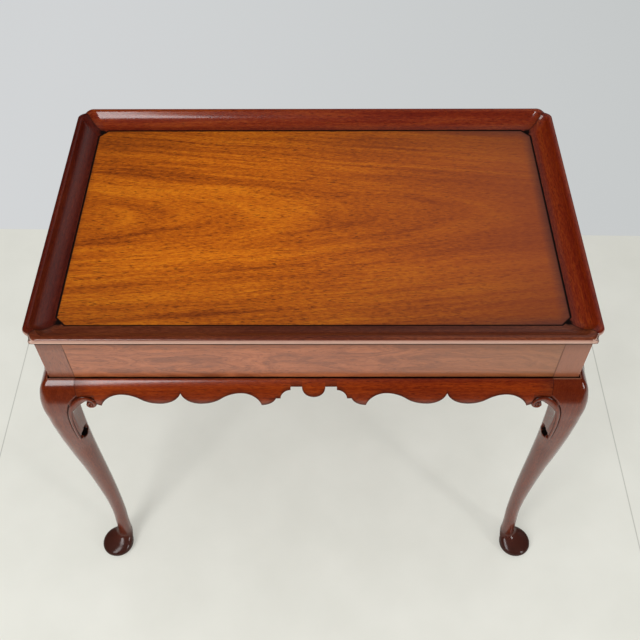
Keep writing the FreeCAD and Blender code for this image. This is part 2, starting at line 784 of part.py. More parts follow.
def make_bracket(side, corner, leg):
    """A scrolled bracket glued between a leg and the apron of one side."""
    name = f"knee_bracket_{corner}_{side}"
    along_x = TURNS[CORNERS.index(corner)] == TURNS[SIDES.index(side)]
    blank = new_body(name + "_blank")
    face = FRIEZE_INSET - swell_reach(BLOCK_BOTTOM) + size("bracket_setback")
    back = face + size("bracket_thickness")
    if along_x:
        sketch = sketch_on(blank, "XZ_Plane", "Scroll_" + name, bracket_outline(),
                           Vector(0, 0, -back))
    else:
        sketch = sketch_on(blank, "YZ_Plane", "Scroll_" + name, bracket_outline(),
                           Vector(0, 0, back))
    pad(blank, sketch, "Scroll_pad_" + name, "bracket_thickness", away=not along_x)
    stand_in_corner(blank, corner)
    bracket = doc.addObject("Part::Cut", name)
    bracket.Label = name
    bracket.Base = blank
    bracket.Tool = leg
    return bracket


# ---------------------------------------------------------------- blocks inside
def make_corner_block(corner):
    """A three-cornered block behind each post, notched round it."""
    film = size("glue_line")
    block = new_body("corner_block_" + corner)
    near = RAIL_INSET + film
    post = POST_INSET + film
    far = POST_INSET + size("corner_block_reach")
    sketch = sketch_on(block, "XY_Plane", "Block_" + corner, closed_lines([
        (post, near), (far, near), (near, far), (near, post), (post, post),
    ]), Vector(0, 0, RABBET_FLOOR - size("corner_block_drop") - size("corner_block_height")))
    pad(block, sketch, "Corner_block_" + corner, "corner_block_height")
    stand_in_corner(block, corner)
    return block


def three_cornered(outline, length, place):
    """A stick of triangular section along X, centred on a place."""
    face = Part.Face(Part.makePolygon([Vector(-length / 2, *point) for point in outline]))
    stick = face.extrude(Vector(length, 0, 0))
    stick.translate(place)
    return stick


def glue_blocks(label, outline_for, count_for):
    """A group of rubbed glue blocks along all four sides, as separate solids."""
    length = size("glue_block_length")
    sticks = []
    for side, turn in zip(SIDES, TURNS):
        run = size(run_alias(side)) - 2 * (POST_INSET + size("corner_block_reach"))
        depth = size(depth_alias(side))
        count = count_for(side)
        for index in range(count):
            middle = (index + 0.5) * run / count - run / 2
            stick = three_cornered(outline_for(), length, Vector(middle, -depth / 2, 0))
            stick.rotate(Vector(0, 0, 0), Vector(0, 0, 1), turn)
            sticks.append(stick)
    group = doc.addObject("Part::Feature", label)
    group.Label = label
    group.Shape = Part.makeCompound(sticks)
    return group


def panel_block_outline():
    """In the angle between a rail's inner face and the underside of the panel."""
    film, side = size("glue_line"), size("glue_block_side")
    inner, top = RAIL_INSET + film, RABBET_FLOOR - film
    return [(inner, top), (inner + side, top), (inner, top - side), (inner, top)]


def apron_block_outline():
    """In the angle between the back of an apron and the underside of its rail."""
    film, side = size("glue_line"), size("glue_block_side")
    back = APRON_INSET + size("apron_thickness") + film
    top = FRIEZE_BOTTOM - film
    return [(back, top), (back + side, top), (back, top - side), (back, top)]


# ---------------------------------------------------------------- the table
def build():
    pieces = [make_panel()]
    for side in SIDES:
        pieces += [make_rim(side), make_rail(side), make_apron(side)]
    for index, corner in enumerate(CORNERS):
        leg = make_leg(corner)
        pieces += [leg, make_corner_block(corner)]
        for side in (SIDES[index], SIDES[index - 1]):
            pieces.append(make_bracket(side, corner, leg))
    pieces.append(glue_blocks("panel_glue_blocks", panel_block_outline,
                              lambda side: 3 if is_long(side) else 1))
    pieces.append(glue_blocks("apron_glue_blocks", apron_block_outline,
                              lambda side: 4 if is_long(side) else 2))
    return pieces


def check(pieces):
    doc.recompute()
    failed = [item.Name for item in doc.Objects if {"Invalid", "Error"} & set(item.State)]
    if failed:
        raise RuntimeError("failed: " + ", ".join(failed))
    for piece in pieces:
        if piece.Shape.isNull() or not piece.Shape.isValid():
            raise RuntimeError(piece.Label + " has no valid shape")


def write(pieces):
    os.makedirs("parts", exist_ok=True)
    for piece in pieces:
        piece.Shape.exportStep("parts/" + piece.Label + ".step")
        box = piece.Shape.BoundBox
        print(f"{piece.Label}: {len(piece.Shape.Solids)} solid, "
              f"{box.XLength:.1f} x {box.YLength:.1f} x {box.ZLength:.1f}")


table = build()
check(table)
write(table)
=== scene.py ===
import math

import bmesh
import bpy
from mathutils import Matrix, Vector


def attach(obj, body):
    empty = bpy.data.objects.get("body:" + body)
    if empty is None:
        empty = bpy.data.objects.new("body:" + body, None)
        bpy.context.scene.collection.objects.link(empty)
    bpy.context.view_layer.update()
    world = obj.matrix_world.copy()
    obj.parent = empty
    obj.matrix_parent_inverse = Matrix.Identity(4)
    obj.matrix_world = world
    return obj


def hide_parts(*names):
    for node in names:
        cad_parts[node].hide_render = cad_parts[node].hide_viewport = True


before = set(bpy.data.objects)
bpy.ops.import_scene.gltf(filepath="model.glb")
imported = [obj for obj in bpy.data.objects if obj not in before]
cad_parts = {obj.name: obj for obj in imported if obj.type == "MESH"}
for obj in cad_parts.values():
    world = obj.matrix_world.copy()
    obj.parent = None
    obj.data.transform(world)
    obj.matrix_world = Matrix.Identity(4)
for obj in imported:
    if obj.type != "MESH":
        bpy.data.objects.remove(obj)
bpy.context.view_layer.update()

# Tray top tea table. Its shapes are given in millimetres and become metres when a mesh is
# made. On a side, s runs along it, d is the inset from the rim's outer edge and z is the
# height. At a corner, u and v are the insets from the two outer edges.
MM = 0.001
LENGTH, DEPTH = 762.0, 464.0
TOP, BED, FRAME_TOP = 671.5, 654.5, 650.0
FRIEZE_BOTTOM, BLOCK_BOTTOM = 568.4, 543.0
FRIEZE_INSET, POST_INSET = 11.6, 47.6
SIDES = ("front", "right", "back", "left")
LONG_SIDES = ("front", "back")
CORNERS = {
    "front_left": (-1, -1),
    "front_right": (1, -1),
    "back_right": (1, 1),
    "back_left": (-1, 1),
}


# ---------------------------------------------------------------- places
def on_side(side):
    """A function that puts a point (s, d, z) of one side into the table's frame."""
    half_x, half_y = LENGTH / 2, DEPTH / 2
    return {
        "front": lambda s, d, z: (s, -half_y + d, z),
        "right": lambda s, d, z: (half_x - d, s, z),
        "back": lambda s, d, z: (-s, half_y - d, z),
        "left": lambda s, d, z: (-half_x + d, -s, z),
    }[side]


def at_corner(corner, swapped=False):
    """A function that puts a point (u, v, z) of one corner into the table's frame."""
    right, back = CORNERS[corner]

    def place(u, v, z):
        if swapped:
            u, v = v, u
        return (right * (LENGTH / 2 - u), back * (DEPTH / 2 - v), z)
    return place


def half_of(side):
    return (LENGTH if side in LONG_SIDES else DEPTH) / 2


# ---------------------------------------------------------------- curves
def between(a, b, c, d, t):
    """The value at share t of the way from b to c, on a smooth curve through all four."""
    return 0.5 * (2 * b + (c - a) * t + (2 * a - 5 * b + 4 * c - d) * t ** 2
                  + (3 * b - a - 3 * c + d) * t ** 3)


def spline(points, steps):
    """A smooth curve through the points, with steps pieces between each two."""
    ends = [points[0], *points, points[-1]]
    curve = []
    for four in zip(ends, ends[1:], ends[2:], ends[3:]):
        for step in range(steps):
            curve.append(tuple(between(*values, step / steps) for values in zip(*four)))
    curve.append(tuple(points[-1]))
    return curve


def at_height(stations, z):
    """Values between stations, which are rows of (z, ...) from the top down."""
    for index, (high, low) in enumerate(zip(stations, stations[1:])):
        if z >= low[0]:
            break
    before = stations[max(0, index - 1)]
    after = stations[min(len(stations) - 1, index + 2)]
    t = (high[0] - z) / (high[0] - low[0])
    return [between(*values, t) for values in zip(before[1:], high[1:], low[1:], after[1:])]


def smooth(value, low, high):
    """0 up to low and 1 from high on, with an even rise between them."""
    t = min(1.0, max(0.0, (value - low) / (high - low)))
    return t * t * (3 - 2 * t)


def fading(value, strength, span):
    """strength up to the start of the span, and 0 from its end on."""
    return strength * (1 - smooth(value, *span))


def swing(level, end, steps=12):
    """Points of an arc that leaves level horizontally and runs to end, both kept."""
    run, rise = end[0] - level[0], end[1] - level[1]
    radius = (run ** 2 + rise ** 2) / (2 * abs(rise))
    turn = 2 * math.atan2(abs(rise), abs(run))
    points = []
    for step in range(steps + 1):
        angle = turn * step / steps
        points.append((level[0] + math.copysign(radius * math.sin(angle), run),
                       level[1] + math.copysign(radius * (1 - math.cos(angle)), rise)))
    return points


def swing_back(level, end, steps=12):
    """The same arc from end to level, without end."""
    return swing(level, end, steps)[::-1][1:]


def middle_of(first, second):
    return ((first[0] + second[0]) / 2, (first[1] + second[1]) / 2)


# ---------------------------------------------------------------- meshes
def skin(rings, first):
    """Faces over rings of equal length, numbered from first, with both ends capped."""
    count = len(rings[0])
    faces = []
    for row in range(len(rings) - 1):
        a, b = first + row * count, first + (row + 1) * count
        for index in range(count):
            following = (index + 1) % count
            faces.append((a + index, a + following, b + following, b + index))
    faces.append(tuple(first + index for index in range(count)))
    last = first + (len(rings) - 1) * count
    faces.append(tuple(last + index for index in reversed(range(count))))
    return faces


class Shape:
    """Points and faces of one piece, gathered from several skins.

    Each point also has a grime and shade mark and a wear and sheen mark, from 0 to 1, for the
    materials to read: painted shade in creases, hollows and under edges along with dark
    seams, and pale worn wood that is partly a painted reflection of the floor.
    """

    def __init__(self):
        self.points, self.faces = [], []
        self.marks = {"grime_and_shade": [], "wear_and_sheen": []}

    def add(self, rings, grime_and_shade=None, wear_and_sheen=None):
        self.faces += skin(rings, len(self.points))
        for row, ring in enumerate(rings):
            self.points += ring
            for kind, rows in (("grime_and_shade", grime_and_shade), ("wear_and_sheen", wear_and_sheen)):
                self.marks[kind] += rows[row] if rows else [0.0] * len(ring)

    def piece(self, name, material, place, sharp=40):
        """The object, smooth shaded except where faces turn by more than sharp degrees."""
        points = [tuple(value * MM for value in place(*point)) for point in self.points]
        mesh = bpy.data.meshes.new(name)
        mesh.from_pydata(points, [], self.faces)
        faces = bmesh.new()
        faces.from_mesh(mesh)
        bmesh.ops.recalc_face_normals(faces, faces=faces.faces)
        faces.to_mesh(mesh)
        faces.free()
        mesh.shade_smooth()
        mesh.set_sharp_from_angle(angle=math.radians(sharp))
        for kind, values in self.marks.items():
            layer = mesh.attributes.new(kind, "FLOAT", "POINT")
            layer.data.foreach_set("value", [float(value) for value in values])
        mesh.materials.append(material)
        piece = bpy.data.objects.new(name, mesh)
        bpy.context.scene.collection.objects.link(piece)
        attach(piece, "root")
        return piece


# ---------------------------------------------------------------- tray rim
RIM_WIDTH = 34.8
LIP_BOTTOM = TOP - 6.5
BEAD = ((0, TOP - 3.2), (1.3, TOP - 0.8), (4.4, TOP), (8, TOP - 0.8))
COVE = ((8, TOP - 0.8), (12.6, 664.2), (18.7, 659.3), (26.8, 656.4),
        (RIM_WIDTH, 655.3))
# the square base under the lip, and the rabbet over the bed
BASE_INSET, RABBET_INSET = 7.4, 22.0
# run, depth and bend of a corner lobe at the rim's outer edge and at its foot
LOBE = ((21.0, 10.4, 1.54), (14.4, 7.0, 1.05))
# how far from a mitre its rings run, how many they are and how they crowd towards it
MITRE_RUN, MITRE_RINGS, MITRE_CROWDING = 24.0, 22, 1.6
# pale colour on the lip, fading out over the bead between these heights: worn wood and a painted
# reflection of the floor
LIP_WEAR_AND_SHEEN, LIP_WEAR_AND_SHEEN_SPAN = 0.68, (TOP - 3.2, TOP - 0.9)
# painted shade at the foot of the cove by the bed, and the insets over which it starts
COVE_SHADE, COVE_SHADE_SPAN = 0.25, (24, 34)
# painted shade near a mitre, as (strength, distances over which it ends): in the mitre
# itself, in the lobe beside it, and in the foot of the cove there, which starts over FOOT_SPAN
MITRE_SHADE, LOBE_SHADE, FOOT_SHADE = (0.45, (0, 3)), (0.2, (3, 14)), (0.7, (3, 10))
FOOT_SPAN = (27, 34)


def rim_turn(along, inset):
    """How far a rim turns in at this distance from its mitre."""
    share = inset / RIM_WIDTH
    run, depth, bend = (edge + (foot - edge) * share for edge, foot in zip(*LOBE))
    return depth * max(0.0, 1 - along / run) ** bend


def rim_profile():
    """The moulding's section as (inset, height, lobed, painted shade, pale wear and sheen),
    as a closed loop.
    """
    # the lip's lower edge has some painted shade, and its face the pale wear and painted sheen
    profile = [(0.4, LIP_BOTTOM, 1, 0.3, LIP_WEAR_AND_SHEEN), (0, LIP_BOTTOM + 0.5, 1, 0.0, LIP_WEAR_AND_SHEEN)]
    for inset, height in spline(BEAD, 6)[:-1]:
        profile.append((inset, height, 1, 0.0, fading(height, LIP_WEAR_AND_SHEEN, LIP_WEAR_AND_SHEEN_SPAN)))
    for inset, height in spline(COVE, 8):
        dirt_and_shade = COVE_SHADE * smooth(inset, *COVE_SHADE_SPAN)
        profile.append((inset, height, 1, dirt_and_shade, 0.0))
    # painted shade on the foot of the cove, the rabbet and the foot of the square base, and a
    # pale colour on the base's upright face that is a painted reflection of the floor
    profile += [
        (RIM_WIDTH, BED, 1, 1.0, 0.0),
        (RABBET_INSET, BED, 0, 1.0, 0.0),
        (RABBET_INSET, FRAME_TOP, 0, 0.0, 0.0),
        (BASE_INSET + 1.6, FRAME_TOP, 0, 1.0, 0.0),
        (BASE_INSET + 1.4, FRAME_TOP + 2.0, 0, 1.0, 0.0),
        (BASE_INSET, FRAME_TOP + 2.6, 0, 0.6, 0.2),
        (BASE_INSET, FRAME_TOP + 3.4, 0, 0.0, 1.0),
        (BASE_INSET, FRAME_TOP + 8.4, 0, 0.0, 1.0),
        (BASE_INSET + 0.5, FRAME_TOP + 9, 0, 0.2, 0.5),
    ]
    return profile


def make_rim(side, material):
    """One mitred length of the rim, with a lobe at both ends."""
    profile = rim_profile()
    half = half_of(side)
    alongs = [MITRE_RUN * (step / MITRE_RINGS) ** MITRE_CROWDING
              for step in range(MITRE_RINGS + 1)]
    rings, grime_and_shade, wear_and_sheen = [], [], []
    for sign, run in ((-1, alongs), (1, alongs[::-1])):
        for along in run:
            ring = []
            for inset, height, lobed, _, _ in profile:
                inward = inset + lobed * rim_turn(along, inset)
                ring.append((sign * (half - inward - along), inward, height))
            rings.append(ring)
            # painted shade in the mitre's valley, in the lobe beside it and in the foot of the
            # cove there
            mitre = fading(along, *MITRE_SHADE) + fading(along, *LOBE_SHADE)
            foot = fading(along, *FOOT_SHADE)
            grime_and_shade.append([min(1.0, dirt_and_shade + mitre + foot * smooth(inset, *FOOT_SPAN))
                          for inset, _, _, dirt_and_shade, _ in profile])
            wear_and_sheen.append([point[-1] for point in profile])
    shape = Shape()
    shape.add(rings, grime_and_shade, wear_and_sheen)
    rim = shape.piece("moulded_rim_" + side, material, on_side(side), sharp=35)
    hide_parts("rim_" + side)


# ---------------------------------------------------------------- apron
SWELL_DEEP, SWELL_TALL = 21.0, 48.0
SWELL_FOOT = FRIEZE_BOTTOM - SWELL_TALL
SWELL_START = FRIEZE_BOTTOM - 0.3
# the two edges of the quirk under the frieze, as (inset, z)
QUIRK = ((FRIEZE_INSET, FRIEZE_BOTTOM - 2.2), (FRIEZE_INSET - 1.1, FRIEZE_BOTTOM - 2.0))
APRON_BACK = 22.6
APRON_ROWS, SAWN_BEVEL = 22, 1.2
# painted shade on the rows under the quirk and by the sawn edge, a dark seam at a knee, and
# painted shade on the back
QUIRK_SHADE, EDGE_SHADE, SEAM_GRIME, BACK_SHADE = (0.9, 0.2, 0.0), 0.8, 0.45, 0.6
# heights over the sawn edge where its painted shade ends, and how close to a knee the
# seam's is
EDGE_SHADE_SPAN, SEAM_REACH = (-3, 11), 0.1

# heights of the scallops, from their drops below the frieze
LEVEL = {name: FRIEZE_BOTTOM - drop for name, drop in {
    "seat": 25.4, "heel": 40.1, "tip": 43.9, "arch": 20.9, "lobe": 39.2, "cusp": 19.0,
    "inner_arch": 18.5, "corner": 42.4, "step": 27.9, "centre": 9.0}.items()}
# from the leg in to the seat's end and to the tip, then each scallop's own width
SEAT_WIDTH, TIP_REACH, ARCH_WIDTH, SWEEP_WIDTH, CHEEK_WIDTH = 24.4, 31.8, 31.3, 52.4, 31.0
INNER_CHEEK_WIDTH, INNER_SWEEP_WIDTH, INNER_ARCH_WIDTH = 27.0, 58.4, 27.5
SMALL_LOBE_WIDTH, STEP_WIDTH = 20.8, 6.5
HOLLOW_RADIUS, PENDANT_RADIUS = 14.3, 16.3
QUARTER = [math.radians(angle) for angle in range(10, 91, 10)]


def swell_reach(z):
    """How far the quarter ellipse of the apron stands out past the frieze."""
    share = min(1.0, max(0.0, (z - SWELL_FOOT) / SWELL_TALL))
    return SWELL_DEEP * math.sqrt(1 - share ** 2)


def swelled_face(low):
    """Points (d, z, painted shade) down the swelled face from its quirk to the sawn edge."""
    face = [(*point, 1.0) for point in QUIRK]
    start = math.asin((SWELL_START - SWELL_FOOT) / SWELL_TALL)
    end = math.asin(max(-1.0, (low + SAWN_BEVEL - SWELL_FOOT) / SWELL_TALL))
    for row in range(APRON_ROWS + 1):
        angle = start + (end - start) * row / APRON_ROWS
        z = SWELL_FOOT + SWELL_TALL * math.sin(angle)
        face.append((FRIEZE_INSET - swell_reach(z), z, QUIRK_SHADE[min(row, 2)]))
    # the face is painted darker towards its sawn edge, as shade
    face = [(d, z, max(dirt_and_shade, fading(z - low, EDGE_SHADE, EDGE_SHADE_SPAN)))
            for d, z, dirt_and_shade in face]
    edge = face[-1][0]
    for turn in (30, 60, 90):
        slip = math.radians(turn)
        face.append((edge + SAWN_BEVEL * (1 - math.cos(slip)),
                     low + SAWN_BEVEL * (1 - math.sin(slip)), EDGE_SHADE))
    return face


def lower_edge(side):
    """The sawn edge of half an apron as (s, z), from a leg in to the middle."""
    half = half_of(side) - POST_INSET
    seat, tip = half - SEAT_WIDTH, (half - TIP_REACH, LEVEL["tip"])
    crown = (tip[0] - ARCH_WIDTH, LEVEL["arch"])
    lobe = (crown[0] - SWEEP_WIDTH, LEVEL["lobe"])
    cusp = (lobe[0] - CHEEK_WIDTH, LEVEL["cusp"])
    turn = middle_of(crown, lobe)
    points = [(half, LEVEL["seat"]), (seat, LEVEL["seat"]), (seat, LEVEL["heel"]), tip]
    points += swing_back(crown, tip)
    points += swing(crown, turn)[1:] + swing_back(lobe, turn)
    points += swing(lobe, cusp)[1:]
    if side not in LONG_SIDES:
        return points + swing_back((0, LEVEL["lobe"]), cusp, 20)
    inner = (cusp[0] - INNER_CHEEK_WIDTH, LEVEL["lobe"])
    arch = (inner[0] - INNER_SWEEP_WIDTH, LEVEL["inner_arch"])
    turn = middle_of(inner, arch)
    corner = (arch[0] - INNER_ARCH_WIDTH, LEVEL["corner"])
    step = (corner[0] - SMALL_LOBE_WIDTH, LEVEL["step"])
    hollow = (step[0] - STEP_WIDTH, LEVEL["step"])
    points += swing_back(inner, cusp) + swing(inner, turn)[1:]
    points += swing_back(arch, turn) + swing(arch, corner)[1:]
    points += swing(corner, step)[1:] + [hollow]
    points += [(hollow[0] - HOLLOW_RADIUS * (1 - math.cos(angle)),
                hollow[1] + HOLLOW_RADIUS * math.sin(angle)) for angle in QUARTER]
    points += [(hollow[0] - HOLLOW_RADIUS, LEVEL["centre"]), (PENDANT_RADIUS, LEVEL["centre"])]
    points += [(PENDANT_RADIUS * math.cos(angle),
                LEVEL["centre"] - PENDANT_RADIUS * math.sin(angle)) for angle in QUARTER]
    return points


def make_apron(side, material):
    """A swelled and scalloped apron, the same from both legs in."""
    half_edge = lower_edge(side)
    edge = half_edge + [(-s, z) for s, z in reversed(half_edge[:-1])]
    rings, grime_and_shade = [], []
    for s, low in edge:
        face = swelled_face(low)
        ring = [(s, d, z) for d, z, _ in face]
        ring += [(s, APRON_BACK, low), (s, APRON_BACK, FRIEZE_BOTTOM),
                 (s, FRIEZE_INSET, FRIEZE_BOTTOM)]
        seam = SEAM_GRIME * (abs(s) > half_of(side) - POST_INSET - SEAM_REACH)
        rings.append(ring)
        # painted shade on the back and on the top behind the quirk, and a dark seam near a knee
        grime_and_shade.append([max(seam, dirt_and_shade) for _, _, dirt_and_shade in face] + [BACK_SHADE, BACK_SHADE, 1.0])
    shape = Shape()
    shape.add(rings, grime_and_shade)
    apron = shape.piece("scalloped_apron_" + side, material, on_side(side))
    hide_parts("apron_" + side)


# ---------------------------------------------------------------- legs
SQUARE, ROUND = 0.02, 0.98
# z, outer reach, inner inset, roundness of the outer, side and inner corners
KNEE_STATIONS = (
    (556.0, 2.5, 47.6, 0.30, 0.01, 0.01),
    (543.0, 6.9, 47.6, 0.45, 0.02, 0.02),
    (530.0, 9.6, 42.0, 0.55, 0.04, 0.10),
    (516.5, 10.9, 36.8, 0.62, 0.04, 0.28),
    (502.1, 11.4, 34.4, 0.68, 0.05, 0.45),
    (485.3, 11.0, 33.7, 0.74, 0.08, 0.60),
    (466.0, 10.9, 33.5, 0.80, 0.18, 0.72),
    (446.8, 10.3, 33.6, 0.86, 0.38, 0.82),
    (425.2, 9.5, 33.7, 0.92, 0.66, 0.92),
)
# z, outer reach and inner inset of the round shaft, then of the foot
SHAFT_STATIONS = (
    (389.1, 7.2, 33.7), (350.6, 3.9, 33.6), (307.3, -0.2, 33.7), (259.2, -3.9, 34.0),
    (211.1, -6.9, 34.1), (163.0, -9.4, 33.7), (112.5, -9.9, 32.9), (62.0, -7.6, 31.0),
)
FOOT_STATIONS = (
    (34.8, -5.9, 31.0), (30.2, -3.3, 31.1), (26.5, 1.0, 31.1), (23.4, 7.3, 31.2),
    (20.5, 14.9, 31.3), (17.4, 21.2, 31.4), (14.0, 24.5, 31.5), (10.9, 25.5, 31.5),
    (6.9, 24.6, 30.6), (4.6, 21.8, 27.8), (3.0, 17.2, 23.2), (0.0, 17.0, 23.0),
)
LEG_STATIONS = KNEE_STATIONS + tuple(
    (*station, ROUND, ROUND, ROUND) for station in SHAFT_STATIONS + FOOT_STATIONS)
SIDE_POINTS, CORNER_POINTS = 30, 9
POST_ROWS, KNEE_ROWS = (FRAME_TOP, 610, 569.4), 13
# spacing of a leg's rows above each height: close where it is carved and at the foot
ROW_SPACING = ((404, 1.4), (66, 7.0), (36, 2.4), (0, 1.3))
# how the knee's outer corner rounds off on the way down its block
KNEE_ROUNDING, KNEE_BEND = 0.43, 0.6
# painted shade on the knee's top row under the quirk, a dark seam where an apron meets it, and
# painted shade round the foot's edge on the floor
KNEE_TOP_SHADE, KNEE_SEAM_GRIME, FOOT_EDGE_SHADE = 0.5, 0.6, 0.6
# width of the seam at an apron, and the height above which a leg has its post's finish
KNEE_SEAM_WIDTH, POST_FINISH_FROM = 1.3, FRIEZE_BOTTOM - 1.0

# The rolled bead of a knee scroll, as (inset along the face, z, half width), from the eye
# of its volute up over the arch and down the leg. The first VOLUTE_TURNS points are the
# volute's.
SCROLL = (
    (64.6, 527.6, 1.6), (66.4, 529.3, 1.7), (65.2, 531.7, 1.8), (61.6, 531.0, 1.9),
    (60.2, 527.2, 2.0), (62.6, 523.9, 2.1), (67.0, 523.9, 2.3), (70.2, 527.6, 2.6),
    (69.9, 533.2, 3.2), (65.5, 538.2, 4.2), (58.0, 540.4, 5.6), (50.0, 537.3, 5.9),
    (42.6, 530.6, 5.2), (36.2, 521.5, 4.0), (31.8, 510.5, 3.1), (29.2, 498.0, 2.8),
    (27.8, 482.0, 2.6), (27.4, 464.0, 2.5), (27.6, 448.0, 2.3), (28.2, 437.5, 2.0),
    (28.9, 431.5, 1.7),
)
SCROLL_STEPS, VOLUTE_TURNS = 5, 8
SCROLL_LINE = spline(SCROLL, SCROLL_STEPS)
ARCH_CROWN = 535.0
# heights between which a leg is carved, and insets between which its faces are grooved
CARVED, GROOVED = (405, 552), (18, 48)
GROOVE_DEPTH, GROOVE_WIDTH, GROOVE_GAP = 1.5, 0.9, 0.5
# the scooped hollow: middle, direction of its length, half length and half width
HOLLOW_MIDDLE, HOLLOW_ALONG, HOLLOW_SIZE = (3.5, 432.0), (0.79, -0.61), (15.5, 10.5)
# its depth, how steeply it deepens, and how fast it is painted in shade towards black
HOLLOW_DEPTH, HOLLOW_STEEPNESS, HOLLOW_SHADE = 7.0, 2.2, 25
# how it fades out away from the inner face and at the outer edge, and how far it goes past
# the leg's middle
HOLLOW_FACE, HOLLOW_EDGE, HOLLOW_PAST = (13.0, 7.0), (-7.0, -3.0), 4


def square_ring(outer, inner, round_outer, round_side, round_inner):
    """Points (u, v) round a square with rounded corners. Every ring has as many."""
    half = (inner - outer) / 2
    corners = ((outer, outer, 180, round_outer), (inner, outer, 270, round_side),
               (inner, inner, 0, round_inner), (outer, inner, 90, round_side))
    arcs = []
    for x, y, start, share in corners:
        radius = max(0.05, share * half)
        centre_x = x + radius if x == outer else x - radius
        centre_y = y + radius if y == outer else y - radius
        turns = [math.radians(start + 90 * k / CORNER_POINTS) for k in range(CORNER_POINTS + 1)]
        arcs.append([(centre_x + radius * math.cos(turn), centre_y + radius * math.sin(turn))
                     for turn in turns])
    ring = []
    for this, following in zip(arcs, arcs[1:] + arcs[:1]):
        ring += this
        start, end = this[-1], following[0]
        for k in range(1, SIDE_POINTS):
            t = k / SIDE_POINTS
            ring.append((start[0] + (end[0] - start[0]) * t, start[1] + (end[1] - start[1]) * t))
    return ring


def scroll_groove(across, z):
    """Depth share of the groove along a scroll's outer side, also its painted shade."""
    square, u, height, wide = min(
        ((across - u) ** 2 + (z - height) ** 2, u, height, wide)
        for u, height, wide in SCROLL_LINE[VOLUTE_TURNS * SCROLL_STEPS:])
    outward = across < u if z < ARCH_CROWN else z > height
    if not outward:
        return 0.0
    gap = math.sqrt(square) - wide - GROOVE_GAP
    return math.exp(-(gap / GROOVE_WIDTH) ** 2)


def hollow_share(across, z):
    """Depth share of the scooped hollow at the foot of a leg's flat inner face."""
    along_x, along_z = HOLLOW_ALONG
    x, y = across - HOLLOW_MIDDLE[0], z - HOLLOW_MIDDLE[1]
    along = (x * along_x + y * along_z) / HOLLOW_SIZE[0]
    over = (x * -along_z + y * along_x) / HOLLOW_SIZE[1]
    return max(0.0, 1 - along ** 2 - over ** 2)


def carve(u, v, z, middle, inset):
    """A leg's point after the scroll grooves and hollows are cut, with their painted shade."""
    if not CARVED[0] < z < CARVED[1]:
        return u, v, 0.0
    point, grime_and_shade = [u, v], 0.0
    for cut_way, along_way in ((1, 0), (0, 1)):
        along = point[along_way]
        if point[cut_way] < middle and GROOVED[0] < along < GROOVED[1]:
            cut = scroll_groove(along, z)
            point[cut_way] += GROOVE_DEPTH * cut
            grime_and_shade = max(grime_and_shade, cut)
    for cut_way, along_way in ((0, 1), (1, 0)):
        inner, across = point[cut_way], point[along_way]
        facing = (smooth(inner, *(inset - gap for gap in HOLLOW_FACE))
                  * smooth(across, *HOLLOW_EDGE))
        if facing > 0 and across < middle + HOLLOW_PAST:
            share = hollow_share(across, z)
            point[cut_way] -= HOLLOW_DEPTH * min(1.0, share * HOLLOW_STEEPNESS) * facing
            grime_and_shade = max(grime_and_shade, min(1.0, share * HOLLOW_SHADE) * facing)
    return (*point, grime_and_shade)


def leg_rows():
    """Heights and section values of a leg from the top of its post to the floor."""
    rows = [(z, FRIEZE_INSET, POST_INSET, SQUARE, SQUARE, SQUARE, 0.0) for z in POST_ROWS]
    (inset, z), (low_inset, low_z) = QUIRK
    # the quirk's two rows are painted in shade
    rows.append((z, inset, POST_INSET, SQUARE, SQUARE, SQUARE, 1.0))
    rows.append((low_z, low_inset, POST_INSET, SQUARE, 0.01, 0.01, 1.0))
    top = math.asin((SWELL_START - SWELL_FOOT) / SWELL_TALL)
    low = math.asin((BLOCK_BOTTOM - SWELL_FOOT) / SWELL_TALL)
    for step in range(KNEE_ROWS):
        share = step / KNEE_ROWS
        z = SWELL_FOOT + SWELL_TALL * math.sin(top + (low - top) * share)
        rounded = SQUARE + share ** KNEE_BEND * KNEE_ROUNDING
        rows.append((z, FRIEZE_INSET - swell_reach(z), POST_INSET, rounded, 0.01, 0.01,
                     KNEE_TOP_SHADE if step == 0 else 0.0))
    z = BLOCK_BOTTOM
    while z > 0:
        reach, *section = at_height(LEG_STATIONS, z)
        rows.append((z, -reach, *section, 0.0))
        z -= next(spacing for above, spacing in ROW_SPACING if z > above)
    _, reach, *section = LEG_STATIONS[-1]
    rows.append((0.0, -reach, *section, FOOT_EDGE_SHADE))
    return rows


def make_leg(corner, material):
    """A cabriole leg from the top of its post to its pad foot."""
    rings, grime_and_shade = [], []
    for z, outer, inner, round_outer, round_side, round_inner, dirt_and_shade in leg_rows():
        ring, row = [], []
        for u, v in square_ring(outer, inner, round_outer, round_side, round_inner):
            u, v, cut = carve(u, v, z, (outer + inner) / 2, inner)
            ring.append((u, v, z))
            # painted shade from the carving and the rows' own, and the dark seam above the block
            in_seam = z > BLOCK_BOTTOM and max(u, v) > POST_INSET - KNEE_SEAM_WIDTH
            row.append(max(cut, dirt_and_shade, KNEE_SEAM_GRIME * in_seam))
        rings.append(ring)
        grime_and_shade.append(row)
    shape = Shape()
    shape.add(rings, grime_and_shade)
    leg = shape.piece("cabriole_leg_" + corner, material, at_corner(corner))
    # above the apron the leg takes the posts' lighter finish, partly a painted reflection of the
    # floor
    leg.data.materials.append(FINISH["post"])
    for face in leg.data.polygons:
        if face.center.z > POST_FINISH_FROM * MM:
            face.material_index = 1
    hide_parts("leg_" + corner)


# ---------------------------------------------------------------- knee brackets
ARCH = ((34.0, 509.0), (36.3, 511.5), (41.4, 519.2), (49.5, 527.6), (57.2, 534.0),
        (60, ARCH_CROWN))
BRACKET_ENDS, BRACKET_BACK = (33.5, 71.8), 19.0
BRACKET_COLUMNS, BRACKET_ROWS = 30, 12
# u between which a bracket's face goes over from the leg's to the apron's, and its setback
FACE_BLEND, FACE_SETBACK = (34, 60), 0.3
